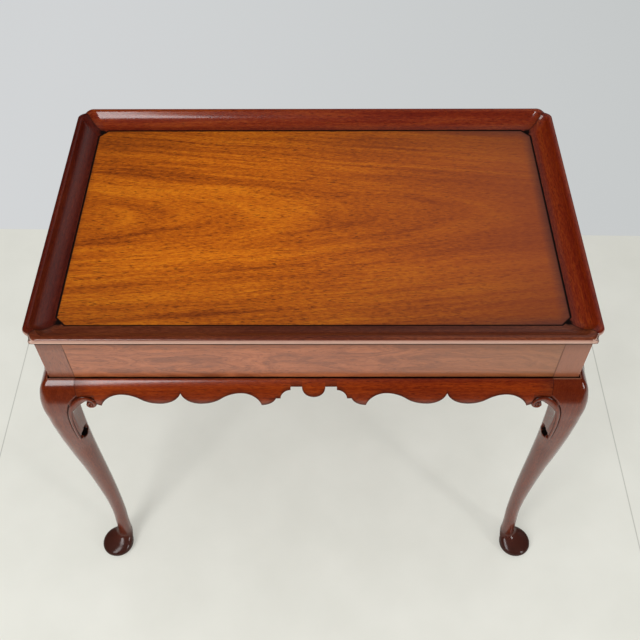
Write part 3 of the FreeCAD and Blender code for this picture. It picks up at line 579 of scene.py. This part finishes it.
# points over the eased lower edge, as (inset past the face, height over the arch)
BRACKET_EDGE = ((0.4, 0.3), (1.2, 0))
# height above which the scroll's groove on a bracket is painted in shade, and painted shade on
# the eased lower edge
BRACKET_GROOVE_FROM, BRACKET_EDGE_SHADE = 536, (0.2, 0.3)
# the bead's ring points, rise and sink, and how fast the painted shade at its foot fades up its
# sides
BEAD_SIDES, BEAD_RISE, BEAD_SINK, BEAD_SHADE_FADE = 12, 1.9, 0.2, 1.4
# middle of the rolled end as (u, z), and its discs as (inset, radius, painted shade)
VOLUTE = (65.0, 529.3)
VOLUTE_DISCS = ((BRACKET_BACK, 5.6, 0.5), (-6.5, 6.2, 0.5), (-8.6, 6.2, 0.3),
                (-9.4, 5.6, 0.6), (-9.7, 4.6, 0.9))
# middle and inset of the button at the bead's foot, and its discs as (radius, further inset)
BUTTON, BUTTON_INSET = (29.3, 430.0), -6.2
BUTTON_DISCS = ((0.6, -3.0), (2.2, -2.2), (2.9, 0), (2.2, 2.2), (0.6, 3.0))


def bracket_face(u, z):
    """Inset of a bracket's face, from the apron's swell over to the leg's."""
    apron = FRIEZE_INSET - swell_reach(z)
    leg = -at_height(LEG_STATIONS, min(z, BLOCK_BOTTOM))[0]
    return leg + (apron - leg) * smooth(u, *FACE_BLEND) + FACE_SETBACK


def arch_height(u):
    """The sawn arch under a bracket."""
    for start, end in zip(ARCH, ARCH[1:]):
        if u <= end[0]:
            t = (u - start[0]) / (end[0] - start[0])
            return start[1] + (end[1] - start[1]) * t
    return ARCH_CROWN


def disc_ring(middle, radius, inset, turn):
    """Points (u, inset, z) round a circle on a face, every turn degrees."""
    return [(middle[0] + radius * math.cos(math.radians(angle)), inset,
             middle[1] + radius * math.sin(math.radians(angle)))
            for angle in range(0, 360, turn)]


def add_bead(shape):
    """The raised bead along the scroll."""
    rings, grime_and_shade = [], []
    turns = [2 * math.pi * side / BEAD_SIDES for side in range(BEAD_SIDES)]
    last = len(SCROLL_LINE) - 1
    for index, (u, z, wide) in enumerate(SCROLL_LINE):
        before, after = SCROLL_LINE[max(0, index - 1)], SCROLL_LINE[min(last, index + 1)]
        run, rise = after[0] - before[0], after[1] - before[1]
        size = math.hypot(run, rise) or 1.0
        inset = bracket_face(u, z)
        rings.append([(u - rise / size * (wide * math.cos(turn)),
                       inset - BEAD_RISE * math.sin(turn) - BEAD_SINK,
                       z + run / size * (wide * math.cos(turn))) for turn in turns])
        # painted shade along the bead's foot, fading up its sides
        grime_and_shade.append([max(0.0, 1 - BEAD_SHADE_FADE * abs(math.sin(turn))) for turn in turns])
    shape.add(rings, grime_and_shade)


def make_bracket(side, corner, material):
    """A knee bracket with its arch, volute and the carved bead that runs down the leg."""
    rings, grime_and_shade = [], []
    start, end = BRACKET_ENDS
    for column in range(BRACKET_COLUMNS + 1):
        u = start + (end - start) * column / BRACKET_COLUMNS
        low = arch_height(u)
        heights = [BLOCK_BOTTOM + (low + 1 - BLOCK_BOTTOM) * row / BRACKET_ROWS
                   for row in range(BRACKET_ROWS + 1)]
        rings.append([(u, bracket_face(u, z), z) for z in heights]
                     + [(u, bracket_face(u, low) + past, low + over)
                        for past, over in BRACKET_EDGE]
                     + [(u, BRACKET_BACK, low), (u, BRACKET_BACK, BLOCK_BOTTOM)])
        # painted shade in the scroll's groove, on the eased lower edge and on the back
        grime_and_shade.append([scroll_groove(u, z) if z > BRACKET_GROOVE_FROM else 0.0
                      for z in heights] + [*BRACKET_EDGE_SHADE, BACK_SHADE, BACK_SHADE])
    shape = Shape()
    shape.add(rings, grime_and_shade)
    knob = [disc_ring(VOLUTE, radius, inset, 15) for inset, radius, _ in VOLUTE_DISCS]
    shape.add(knob, [[dirt_and_shade] * len(knob[0]) for _, _, dirt_and_shade in VOLUTE_DISCS])
    add_bead(shape)
    shape.add([disc_ring(BUTTON, radius, BUTTON_INSET + further, 24)
               for radius, further in BUTTON_DISCS])
    place = at_corner(corner, swapped=side not in LONG_SIDES)
    bracket = shape.piece(f"carved_bracket_{corner}_{side}", material, place)
    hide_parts(f"knee_bracket_{corner}_{side}")


# ---------------------------------------------------------------- shader nodes
class Nodes:
    """A short way to add and join shader nodes."""

    def __init__(self, owner):
        owner.use_nodes = True
        self.tree = owner.node_tree
        self.tree.nodes.clear()

    def add(self, kind, **settings):
        node = self.tree.nodes.new(kind)
        inputs = settings.pop("inputs", {})
        for name, value in settings.items():
            setattr(node, name, value)
        for name, value in inputs.items():
            self.put(value, node.inputs[name])
        return node

    def put(self, value, socket):
        """Links a socket's value to the socket, or sets a plain one on it."""
        if isinstance(value, bpy.types.NodeSocket):
            self.tree.links.new(value, socket)
        else:
            socket.default_value = value

    def math(self, operation, first, second=0.0, third=0.0):
        node = self.add("ShaderNodeMath", operation=operation)
        for index, value in enumerate((first, second, third)):
            self.put(value, node.inputs[index])
        return node.outputs[0]

    def largest(self, first, *others):
        for other in others:
            first = self.math("MAXIMUM", first, other)
        return first

    def mix(self, factor, first, second):
        node = self.add("ShaderNodeMix", data_type="RGBA")
        for index, value in ((0, factor), (6, first), (7, second)):
            self.put(value, node.inputs[index])
        return node.outputs[2]

    def mix_shaders(self, factor, first, second):
        return self.add("ShaderNodeMixShader", inputs={
            0: factor, 1: first.outputs[0], 2: second.outputs[0]})

    def span(self, value, low, high, to_low=0.0, to_high=1.0):
        """to_low up to low, to_high from high on, and a straight run between them."""
        node = self.add("ShaderNodeMapRange", clamp=True)
        for index, item in enumerate((value, low, high, to_low, to_high)):
            self.put(item, node.inputs[index])
        return node.outputs[0]

    def ramp(self, value, stops):
        node = self.add("ShaderNodeValToRGB", inputs={"Fac": value})
        elements = node.color_ramp.elements
        while len(elements) < len(stops):
            elements.new(0.5)
        for element, (place, colour) in zip(elements, stops):
            element.position = place
            element.color = (*colour, 1.0)
        return node.outputs[0]

    def noise(self, vector, scale, detail, rough=0.5):
        node = self.add("ShaderNodeTexNoise", noise_dimensions="3D",
                        inputs={"Vector": vector, "Scale": scale, "Detail": detail,
                                "Roughness": rough})
        return node.outputs[0]

    def coordinates(self, kind="Object"):
        return self.add("ShaderNodeTexCoord").outputs[kind]

    def separate(self, vector):
        return self.add("ShaderNodeSeparateXYZ", inputs={"Vector": vector}).outputs

    def attribute(self, name):
        return self.add("ShaderNodeAttribute", attribute_name=name).outputs["Fac"]


# ---------------------------------------------------------------- wood
# Noise fields of the wood: scales along the grain and both ways across it, per metre, then
# detail and roughness.
FIELDS = {
    "sway": ((3.2, 7.0, 7.0), 3.0, 0.5),
    "hills": ((5.0, 22.0, 22.0), 2.0, 0.4),
    "bands": ((1.8, 80.0, 60.0), 3.0, 0.6),
    "streaks": ((7.0, 280.0, 200.0), 3.0, 0.6),
    "fibres": ((120.0, 620.0, 620.0), 2.0, 0.7),
    "cloud": ((4.0, 11.0, 11.0), 2.0, 0.5),
    "pores": ((110.0, 800.0, 800.0), 1.0, 0.5),
    "flecks": ((62.0, 400.0, 400.0), 1.0, 0.5),
}
GRAIN_ORDER = {"X": (0, 1, 2), "Y": (1, 0, 2), "Z": (2, 0, 1)}
# how far the grain wanders across a board, and how much it slants through its thickness
WANDER, SLANT = 0.034, 0.12
STREAKS, CLOUD, HALF_CONTRAST = 0.36, 0.36, 0.21
PORE_SPAN, FLECK_SPAN, PORE_SHADE = (0.60, 0.70), (0.69, 0.75), 0.30
FIBRE_ROUGHNESS, GRIME_AND_SHADE_ROUGHNESS = 0.12, 0.4
FIBRE_RELIEF, BUMP_STRENGTH, BUMP_HEIGHT = 0.6, 0.12, 0.0004
# pale colour of worn wood that also stands in for the floor's reflection: painted reflection
WORN_AND_SHEEN_WOOD = (0.56, 0.34, 0.26, 1.0)
# near black colour of painted shade in creases and hollows, and of dark seams
SHADE_AND_GRIME_COLOUR = (0.004, 0.0015, 0.001, 1.0)


def field(nodes, values, kind):
    """One of the wood's noise fields at these values along and across the grain."""
    scales, detail, rough = FIELDS[kind]
    scaled = [nodes.math("MULTIPLY", value, scale) for value, scale in zip(values, scales)]
    vector = nodes.add("ShaderNodeCombineXYZ", inputs=dict(enumerate(scaled))).outputs[0]
    return nodes.noise(vector, 1.0, detail, rough)


def figure_values(nodes, values, ovals, arch):
    """The values bent so that bands and streaks follow the board's figure."""
    wander = nodes.math("SUBTRACT", values[1], WANDER / 2)
    flow = nodes.math("MULTIPLY_ADD", field(nodes, values, "sway"), WANDER, wander)
    if ovals:
        flow = nodes.math("MULTIPLY_ADD", field(nodes, values, "hills"), ovals, flow)
    aside = flow
    if arch:
        place, slope, roundness = arch
        aside = nodes.math("SUBTRACT", flow, place)
        square = nodes.math("MULTIPLY_ADD", aside, aside, roundness ** 2)
        flow = nodes.math("MULTIPLY_ADD", values[0], slope, nodes.math("SQRT", square))
    return values[0], flow, nodes.math("MULTIPLY_ADD", aside, SLANT, values[2])


def grain_colour(nodes, values, fibres, palette, figure, arch, ovals, fine):
    """Colour of the bare wood: its figure, streaks that follow it, clouds and fibres."""
    bent = figure_values(nodes, values, ovals, arch)
    tone = nodes.math("MULTIPLY_ADD", field(nodes, bent, "bands"), figure,
                      nodes.math("MULTIPLY", field(nodes, bent, "streaks"), STREAKS))
    tone = nodes.math("MULTIPLY_ADD", field(nodes, values, "cloud"), CLOUD, tone)
    tone = nodes.math("MULTIPLY_ADD", fibres, fine, tone)
    centre = 0.5 * (figure + STREAKS + CLOUD + fine)
    tone = nodes.span(tone, centre - HALF_CONTRAST, centre + HALF_CONTRAST)
    dark, middle, light = palette
    return nodes.ramp(tone, [(0.0, dark), (0.5, middle), (1.0, light)])


def pore_depth(nodes, values, flecks):
    """Fine open pores, and the longer flecks of a plain sawn board."""
    pore = nodes.span(field(nodes, values, "pores"), *PORE_SPAN)
    if flecks:
        dashes = nodes.span(field(nodes, values, "flecks"), *FLECK_SPAN)
        pore = nodes.largest(pore, nodes.math("MULTIPLY", dashes, flecks))
    return pore


def wood(name, along, palette, shift, figure=0.5, arch=None, roughness=0.32, coat=0.7,
         coat_roughness=0.12, pores=0.5, flecks=0.0, level=0.5, ovals=0.0, fine=0.6,
         shade=None, fade=None):
    """French polished mahogany: figure, streaks that follow it, fibres, pores and flecks.

    arch gives a plain sawn board's pointed figure as (place across, slope, roundness), and
    ovals the strength of a flamed figure of closed rings. shade adds painted shade by place,
    and fade changes the colour by place, partly as painted shade.
    """
    material = bpy.data.materials.new(name)
    nodes = Nodes(material)
    parts = nodes.separate(nodes.coordinates())
    values = [nodes.math("ADD", parts[index], start)
              for index, start in zip(GRAIN_ORDER[along], shift)]
    fibres = field(nodes, values, "fibres")
    colour = grain_colour(nodes, values, fibres, palette, figure, arch, ovals, fine)
    pore = pore_depth(nodes, values, flecks)
    pore_colour = (*(value * PORE_SHADE for value in palette[0]), 1.0)
    colour = nodes.mix(nodes.math("MULTIPLY", pore, pores), colour, pore_colour)
    if fade:
        colour = fade(nodes, parts, colour)
    # pale worn wood, partly a painted reflection of the floor
    colour = nodes.mix(nodes.attribute("wear_and_sheen"), colour, WORN_AND_SHEEN_WOOD)
    # darkens to near black: mostly painted shade, with dark seams
    grime_and_shade = nodes.attribute("grime_and_shade")
    if shade:
        grime_and_shade = nodes.largest(grime_and_shade, shade(nodes, parts))
    colour = nodes.mix(grime_and_shade, colour, SHADE_AND_GRIME_COLOUR)
    rough = nodes.math("MULTIPLY_ADD", fibres, FIBRE_ROUGHNESS, roughness - FIBRE_ROUGHNESS / 2)
    rough = nodes.math("MULTIPLY_ADD", grime_and_shade, GRIME_AND_SHADE_ROUGHNESS, rough)
    height = nodes.math("MULTIPLY_ADD", pore, -1.0, nodes.math("MULTIPLY", fibres, FIBRE_RELIEF))
    bump = nodes.add("ShaderNodeBump", inputs={
        "Height": height, "Strength": BUMP_STRENGTH, "Distance": BUMP_HEIGHT})
    shader = nodes.add("ShaderNodeBsdfPrincipled", inputs={
        "Base Color": colour, "Roughness": rough, "Normal": bump.outputs[0], "IOR": 1.5,
        "Specular IOR Level": level, "Coat Roughness": coat_roughness,
        "Coat Weight": nodes.math("MULTIPLY_ADD", grime_and_shade, -coat, coat)})
    nodes.add("ShaderNodeOutputMaterial", inputs={"Surface": shader.outputs[0]})
    return material


# ---------------------------------------------------------------- shades of each piece
# Places below are in metres in the table's frame, as the shaders read them.

# the rim's lobes cut the bed's corners at a slant: its slope and how deep it starts
CORNER_SLOPE, CORNER_CUT = 0.7, -0.0098


def bed_edge(nodes, parts):
    """Distances from the foot of the rim: to the nearest edge, and to the right one."""
    half_x, half_y = (LENGTH / 2 - RIM_WIDTH) * MM, (DEPTH / 2 - RIM_WIDTH) * MM
    edge_x = nodes.math("SUBTRACT", half_x, nodes.math("ABSOLUTE", parts[0]))
    edge_y = nodes.math("SUBTRACT", half_y, nodes.math("ABSOLUTE", parts[1]))
    corner = nodes.math("MULTIPLY_ADD", nodes.math("ADD", edge_x, edge_y), CORNER_SLOPE,
                        CORNER_CUT)
    near = nodes.math("MINIMUM", nodes.math("MINIMUM", edge_x, edge_y), corner)
    return near, nodes.math("SUBTRACT", half_x, parts[0])


def bed_shade(nodes, parts):
    """Painted shade: a dark line along the foot of the rim, and haze at three edges."""
    near, _ = bed_edge(nodes, parts)
    line = nodes.span(near, 0.0020, 0.0038, 1.0, 0.0)
    close = nodes.span(near, 0.002, 0.016, 0.34, 0.0)
    back = nodes.span(parts[1], 0.12, 0.20, 0.0, 0.27)
    front = nodes.span(parts[1], -0.20, -0.08, 0.28, 0.0)
    left = nodes.span(parts[0], -0.34, -0.18, 0.14, 0.0)
    wide = nodes.math("ADD", nodes.math("ADD", back, front), left)
    return nodes.largest(line, close, wide)


def bed_fade(nodes, parts, colour):
    """Golden wood at one end of the board, redder at the other, with a dark grey band at that
    edge.
    """
    share = nodes.span(parts[0], -0.06, 0.33, 0.0, 0.80)
    colour = nodes.mix(share, colour, (0.19, 0.036, 0.011, 1.0))
    near, right = bed_edge(nodes, parts)
    # a dark purple-grey band along the bed's right edge
    edge_band = nodes.math("MULTIPLY", nodes.span(near, 0.002, 0.018, 0.6, 0.0),
                       nodes.span(right, 0.03, 0.20, 1.0, 0.0))
    return nodes.mix(edge_band, colour, (0.060, 0.024, 0.024, 1.0))


def frieze_shade(nodes, parts):
    """A thin seam where a rail meets a post, and painted shadow under the rim: a dark line
    and haze below it.
    """
    seams = []
    for part, half in zip(parts, (LENGTH / 2 - POST_INSET, DEPTH / 2 - POST_INSET)):
        gap = nodes.math("SUBTRACT", nodes.math("ABSOLUTE", part), half * MM)
        seams.append(nodes.span(nodes.math("ABSOLUTE", gap), 0.0004, 0.0014, 0.22, 0.0))
    # painted shadow under the rim: a dark line at the top of the frieze and haze below it
    line = nodes.span(parts[2], 0.6438, 0.6455, 0.0, 0.8)
    haze = nodes.span(parts[2], 0.628, 0.6438, 0.0, 0.25)
    return nodes.largest(*seams, line, haze)


def right_end(nodes, parts):
    """A share that grows towards the right end of the table."""
    return nodes.span(parts[0], 0.05, 0.34, 0.0, 0.6)


def frieze_right_shade(nodes, parts, colour):
    """Painted shade: the frieze is a darker brown towards the right end, away from the lamp."""
    return nodes.mix(right_end(nodes, parts), colour, (0.195, 0.072, 0.022, 1.0))


def post_fade(nodes, parts, colour):
    """The posts are a little lighter at the right end."""
    return nodes.mix(right_end(nodes, parts), colour, (0.255, 0.080, 0.032, 1.0))


def leg_shade(nodes, parts):
    """Painted shade on the feet, darkest near the floor."""
    return nodes.span(parts[2], 0.014, 0.050, 0.62, 0.0)


def leg_fade(nodes, parts, colour):
    """Painted shade: the feet a darker, greyer brown, and the knees darker towards the right
    end.
    """
    foot = nodes.span(parts[2], 0.020, 0.075, 0.9, 0.0)
    colour = nodes.mix(foot, colour, (0.078, 0.022, 0.015, 1.0))
    # painted shade on the knees, darker towards the right end
    knee = nodes.math("MULTIPLY", nodes.span(parts[2], 0.525, 0.545, 0.0, 0.45),
                      nodes.span(parts[0], -0.2, 0.3, 0.4, 1.0))
    return nodes.mix(knee, colour, (0.055, 0.004, 0.0005, 1.0))


# ---------------------------------------------------------------- finishes
# each palette's dark, middle and light wood
GOLD = ((0.17, 0.028, 0.0008), (0.40, 0.085, 0.0008), (0.60, 0.168, 0.003))
RED = ((0.085, 0.004, 0.0006), (0.145, 0.014, 0.0012), (0.22, 0.036, 0.003))
# darker copies of the rims' red for the front and the left rims, whose coves face away from the
# lamps: painted shade
FRONT_RIM_SHADED_RED = ((0.060, 0.008, 0.003), (0.100, 0.019, 0.006), (0.17, 0.040, 0.013))
LEFT_RIM_SHADED_RED = ((0.040, 0.002, 0.0007), (0.070, 0.006, 0.0015), (0.11, 0.015, 0.003))
BROWN = ((0.210, 0.054, 0.017), (0.297, 0.081, 0.026), (0.385, 0.111, 0.038))
# the posts' brown, lighter than the legs': partly a painted reflection of the floor on their
# upright faces
POST_BROWN_AND_SHEEN = ((0.150, 0.040, 0.017), (0.200, 0.056, 0.025), (0.250, 0.076, 0.034))
ORANGE = ((0.102, 0.008, 0.0005), (0.172, 0.020, 0.0007), (0.25, 0.038, 0.0018))
LEGS = ((0.075, 0.008, 0.001), (0.112, 0.014, 0.002), (0.165, 0.026, 0.004))
PLAIN = ((0.30, 0.19, 0.10), (0.40, 0.27, 0.15), (0.50, 0.35, 0.21))
RIM_POLISH = {"coat": 0.9, "coat_roughness": 0.16, "roughness": 0.38, "level": 0.1}
FRIEZE_POLISH = {"coat": 0.8, "coat_roughness": 0.22, "level": 0.4, "shade": frieze_shade}
APRON_POLISH = {"coat": 0.9, "coat_roughness": 0.17, "level": 0.08}
FLAMED = {"figure": 1.2, "ovals": 0.22, "fine": 0.35}
FINISH = {
    "bed": wood("bed_mahogany", "X", GOLD, (0.0, 0.0, 0.0), figure=0.55,
                arch=(0.008, 0.085, 0.085), roughness=0.40, coat=0.3, coat_roughness=0.24,
                pores=0.7, flecks=1.0, level=0.15, shade=bed_shade, fade=bed_fade),
    "rim_back": wood("rim_mahogany_x", "X", RED, (1.3, 0.4, 0.2), **RIM_POLISH),
    "rim_right": wood("rim_mahogany_y", "Y", RED, (2.1, 0.9, 0.1), **RIM_POLISH),
    "rim_front": wood("rim_mahogany_front_shaded", "X", FRONT_RIM_SHADED_RED, (1.3, 0.4, 0.2), **RIM_POLISH),
    "rim_left": wood("rim_mahogany_left_shaded", "Y", LEFT_RIM_SHADED_RED, (2.9, 1.1, 0.3), **RIM_POLISH),
    "frieze_x": wood("frieze_mahogany_x", "X", BROWN, (0.2, 1.7, -0.6), fade=frieze_right_shade,
                     **FLAMED, **FRIEZE_POLISH),
    "frieze_y": wood("frieze_mahogany_y", "Y", BROWN, (0.7, 2.7, 0.9),
                     **FLAMED, **FRIEZE_POLISH),
    "post": wood("post_mahogany_z", "Z", POST_BROWN_AND_SHEEN, (0.5, 1.4, 2.2), figure=0.3, fade=post_fade,
                 **FRIEZE_POLISH),
    "apron_x": wood("apron_mahogany_x", "X", ORANGE, (3.1, 0.2, 1.2), **APRON_POLISH),
    "apron_y": wood("apron_mahogany_y", "Y", ORANGE, (4.3, 0.5, 1.7), **APRON_POLISH),
    "leg": wood("leg_mahogany_z", "Z", LEGS, (0.0, 2.0, 3.0), figure=0.3, coat=0.94,
                coat_roughness=0.16, level=0.05, shade=leg_shade, fade=leg_fade),
    "block": wood("block_wood_plain", "X", PLAIN, (5.0, 1.0, 2.0), coat=0.0, roughness=0.75,
                  pores=0.2),
}


# ---------------------------------------------------------------- the table
def finish_node(node, material):
    """Gives a CAD node its material, in every slot that it has."""
    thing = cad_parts[node]
    if not thing.data.materials:
        thing.data.materials.append(material)
    for slot in thing.material_slots:
        slot.link = "OBJECT"
        slot.material = material


def build_table():
    finish_node("tray_panel", FINISH["bed"])
    for side in SIDES:
        grain = "x" if side in LONG_SIDES else "y"
        make_rim(side, FINISH["rim_" + side])
        make_apron(side, FINISH["apron_" + grain])
        finish_node("frieze_rail_" + side, FINISH["frieze_" + grain])
    for index, corner in enumerate(CORNERS):
        make_leg(corner, FINISH["leg"])
        for side in (SIDES[index], SIDES[index - 1]):
            make_bracket(side, corner, FINISH["leg"])
        finish_node("corner_block_" + corner, FINISH["block"])
    finish_node("panel_glue_blocks", FINISH["block"])
    finish_node("apron_glue_blocks", FINISH["block"])


# ---------------------------------------------------------------- stage
STAGE_REACH = 6.0
FLOOR_SEAMS = (-0.652, 0.619)
# y of the floor's far edge at its left and right ends
FAR_LEFT, FAR_RIGHT = 0.684, 0.488
# reflections show the floor only behind this line, and the far floor all over
MIRRORED_FROM, MIRRORED_ALL = -0.83, -9.0
MIRROR_FADE, MIRROR_DARK = 0.08, 0.96
FLOOR_FLATNESS, FAR_FLATNESS = 0.45, 0.9


def backdrop(name, corners, colour_of, flatness, mirrored_from):
    """A flat stage piece. Seen directly, part of its colour doesn't depend on shadows.

    In reflections it is dark in front of the line y = mirrored_from, as in a dim room.
    """
    material = bpy.data.materials.new(name)
    nodes = Nodes(material)
    coordinates = nodes.coordinates()
    colour = colour_of(nodes, coordinates)
    rays = nodes.add("ShaderNodeLightPath").outputs
    matt = nodes.add("ShaderNodeBsdfPrincipled", inputs={"Base Color": colour, "Roughness": 0.6})
    flat = nodes.add("ShaderNodeEmission", inputs={"Color": colour, "Strength": 1.0})
    seen = nodes.mix_shaders(nodes.math("MULTIPLY", rays["Is Camera Ray"], flatness), matt, flat)
    before = nodes.span(nodes.separate(coordinates)[1], mirrored_from - MIRROR_FADE,
                        mirrored_from, MIRROR_DARK, 0.0)
    room = nodes.add("ShaderNodeEmission", inputs={"Strength": 0.0})
    mixed = nodes.mix_shaders(nodes.math("MULTIPLY", rays["Is Glossy Ray"], before), seen, room)
    nodes.add("ShaderNodeOutputMaterial", inputs={"Surface": mixed.outputs[0]})
    mesh = bpy.data.meshes.new(name)
    mesh.from_pydata([(*corner, 0.0) for corner in corners], [], [(0, 1, 2, 3)])
    mesh.materials.append(material)
    piece = bpy.data.objects.new(name, mesh)
    bpy.context.scene.collection.objects.link(piece)


def floor_colour(nodes, coordinates):
    """Pale painted boards with two faint seams and a little wear."""
    mottle = nodes.noise(coordinates, scale=7.0, detail=5.0)
    colour = nodes.ramp(mottle, [(0.3, (0.725, 0.725, 0.658)), (0.7, (0.775, 0.775, 0.708))])
    along = nodes.separate(coordinates)[0]
    for place in FLOOR_SEAMS:
        gap = nodes.math("ABSOLUTE", nodes.math("SUBTRACT", along, place))
        seam = nodes.span(gap, 0.0004, 0.0016, 0.5, 0.0)
        colour = nodes.mix(seam, colour, (0.25, 0.25, 0.22, 1.0))
    return colour


def far_colour(nodes, coordinates):
    """A smooth grey ground behind the boards."""
    share = nodes.span(nodes.separate(coordinates)[0], -0.8, 1.2)
    return nodes.mix(share, (0.66, 0.675, 0.685, 1.0), (0.57, 0.59, 0.59, 1.0))


def make_stage():
    near = [(-STAGE_REACH, -STAGE_REACH), (STAGE_REACH, -STAGE_REACH)]
    left, right = (-STAGE_REACH, FAR_LEFT), (STAGE_REACH, FAR_RIGHT)
    far = [(STAGE_REACH, STAGE_REACH), (-STAGE_REACH, STAGE_REACH)]
    backdrop("floor", [*near, right, left], floor_colour, FLOOR_FLATNESS, MIRRORED_FROM)
    backdrop("far_floor", [left, right, *far], far_colour, FAR_FLATNESS, MIRRORED_ALL)


# ---------------------------------------------------------------- light and camera
ROOM_LIGHT, ROOM_MIRRORED, PANE_LIGHT = 0.34, 0.02, 0.4
# where the edges of the pane fade, in the x, y and z of a direction
PANE_X, PANE_Y, PANE_Z = (-0.15, 0.35), (0.2, 0.5), (0.2, 0.45)
HORIZON = (0.60, 0.61, 0.615, 1.0)
FRAME_PIXELS, SENSOR_WIDTH, FOCAL_PIXELS, SHIFT_PIXELS = 640.0, 36.0, 848.8, 0.5
CAMERA_PLACE = (0.01265, -0.8735, 1.5587)
PITCH, YAW, ROLL = (math.radians(angle) for angle in (52.81, -0.301, 0.28))


def make_world():
    """Soft even light. Reflections see a dark room with one pale pane, back on the right."""
    world = bpy.data.worlds.new("studio")
    bpy.context.scene.world = world
    nodes = Nodes(world)
    parts = nodes.separate(nodes.coordinates("Generated"))
    pane = nodes.math("MULTIPLY", nodes.span(parts[0], *PANE_X),
                      nodes.span(parts[1], *PANE_Y))
    pane = nodes.math("MULTIPLY", pane, nodes.span(parts[2], *PANE_Z, 0.0, PANE_LIGHT))
    mirrored = nodes.math("ADD", pane, ROOM_MIRRORED)
    rays = nodes.add("ShaderNodeLightPath").outputs
    level = nodes.math("MULTIPLY_ADD", rays["Is Glossy Ray"],
                       nodes.math("SUBTRACT", mirrored, ROOM_LIGHT), ROOM_LIGHT)
    light = nodes.add("ShaderNodeCombineColor", inputs={0: level, 1: level, 2: level}).outputs[0]
    colour = nodes.mix(rays["Is Camera Ray"], light, HORIZON)
    background = nodes.add("ShaderNodeBackground", inputs={"Color": colour, "Strength": 1.0})
    nodes.add("ShaderNodeOutputWorld", inputs={"Surface": background.outputs[0]})


def add_lamp(name, place, target, width, height, power, mirrored=True):
    """A rectangular area lamp that faces its target."""
    lamp = bpy.data.lights.new(name, "AREA")
    lamp.shape = "RECTANGLE"
    lamp.size, lamp.size_y = width, height
    lamp.energy = power
    thing = bpy.data.objects.new(name, lamp)
    thing.location = place
    away = Vector(place) - Vector(target)
    thing.rotation_euler = away.to_track_quat("Z", "Y").to_euler()
    thing.visible_glossy = mirrored
    bpy.context.scene.collection.objects.link(thing)


def make_camera():
    """A camera above the front edge that looks down on the tray."""
    forward = Vector((math.sin(YAW) * math.cos(PITCH), math.cos(YAW) * math.cos(PITCH),
                      -math.sin(PITCH)))
    level = Vector((math.cos(YAW), -math.sin(YAW), 0.0))
    down = forward.cross(level)
    right = math.cos(ROLL) * level + math.sin(ROLL) * down
    under = -math.sin(ROLL) * level + math.cos(ROLL) * down
    data = bpy.data.cameras.new("camera")
    data.sensor_width = SENSOR_WIDTH
    data.lens = FOCAL_PIXELS * SENSOR_WIDTH / FRAME_PIXELS
    data.clip_start = 0.05
    data.shift_y = SHIFT_PIXELS / FRAME_PIXELS
    camera = bpy.data.objects.new("camera", data)
    place = Matrix((right, -under, -forward)).transposed().to_4x4()
    place.translation = Vector(CAMERA_PLACE)
    camera.matrix_world = place
    bpy.context.scene.collection.objects.link(camera)
    bpy.context.scene.camera = camera


build_table()
make_stage()
make_world()
add_lamp("softbox_left", place=(-1.15, -1.9, 2.1), target=(0.0, 0.0, 0.6),
         width=0.85, height=2.0, power=48.0)
add_lamp("softbox_right", place=(2.2, -2.0, 1.15), target=(0.37, -0.24, 0.56),
         width=0.3, height=1.3, power=24.0)
add_lamp("overhead", place=(0.0, -0.3, 3.4), target=(0.0, -0.3, 0.0),
         width=3.5, height=3.5, power=52.0, mirrored=False)
make_camera()
bpy.context.scene.view_settings.view_transform = "Standard"
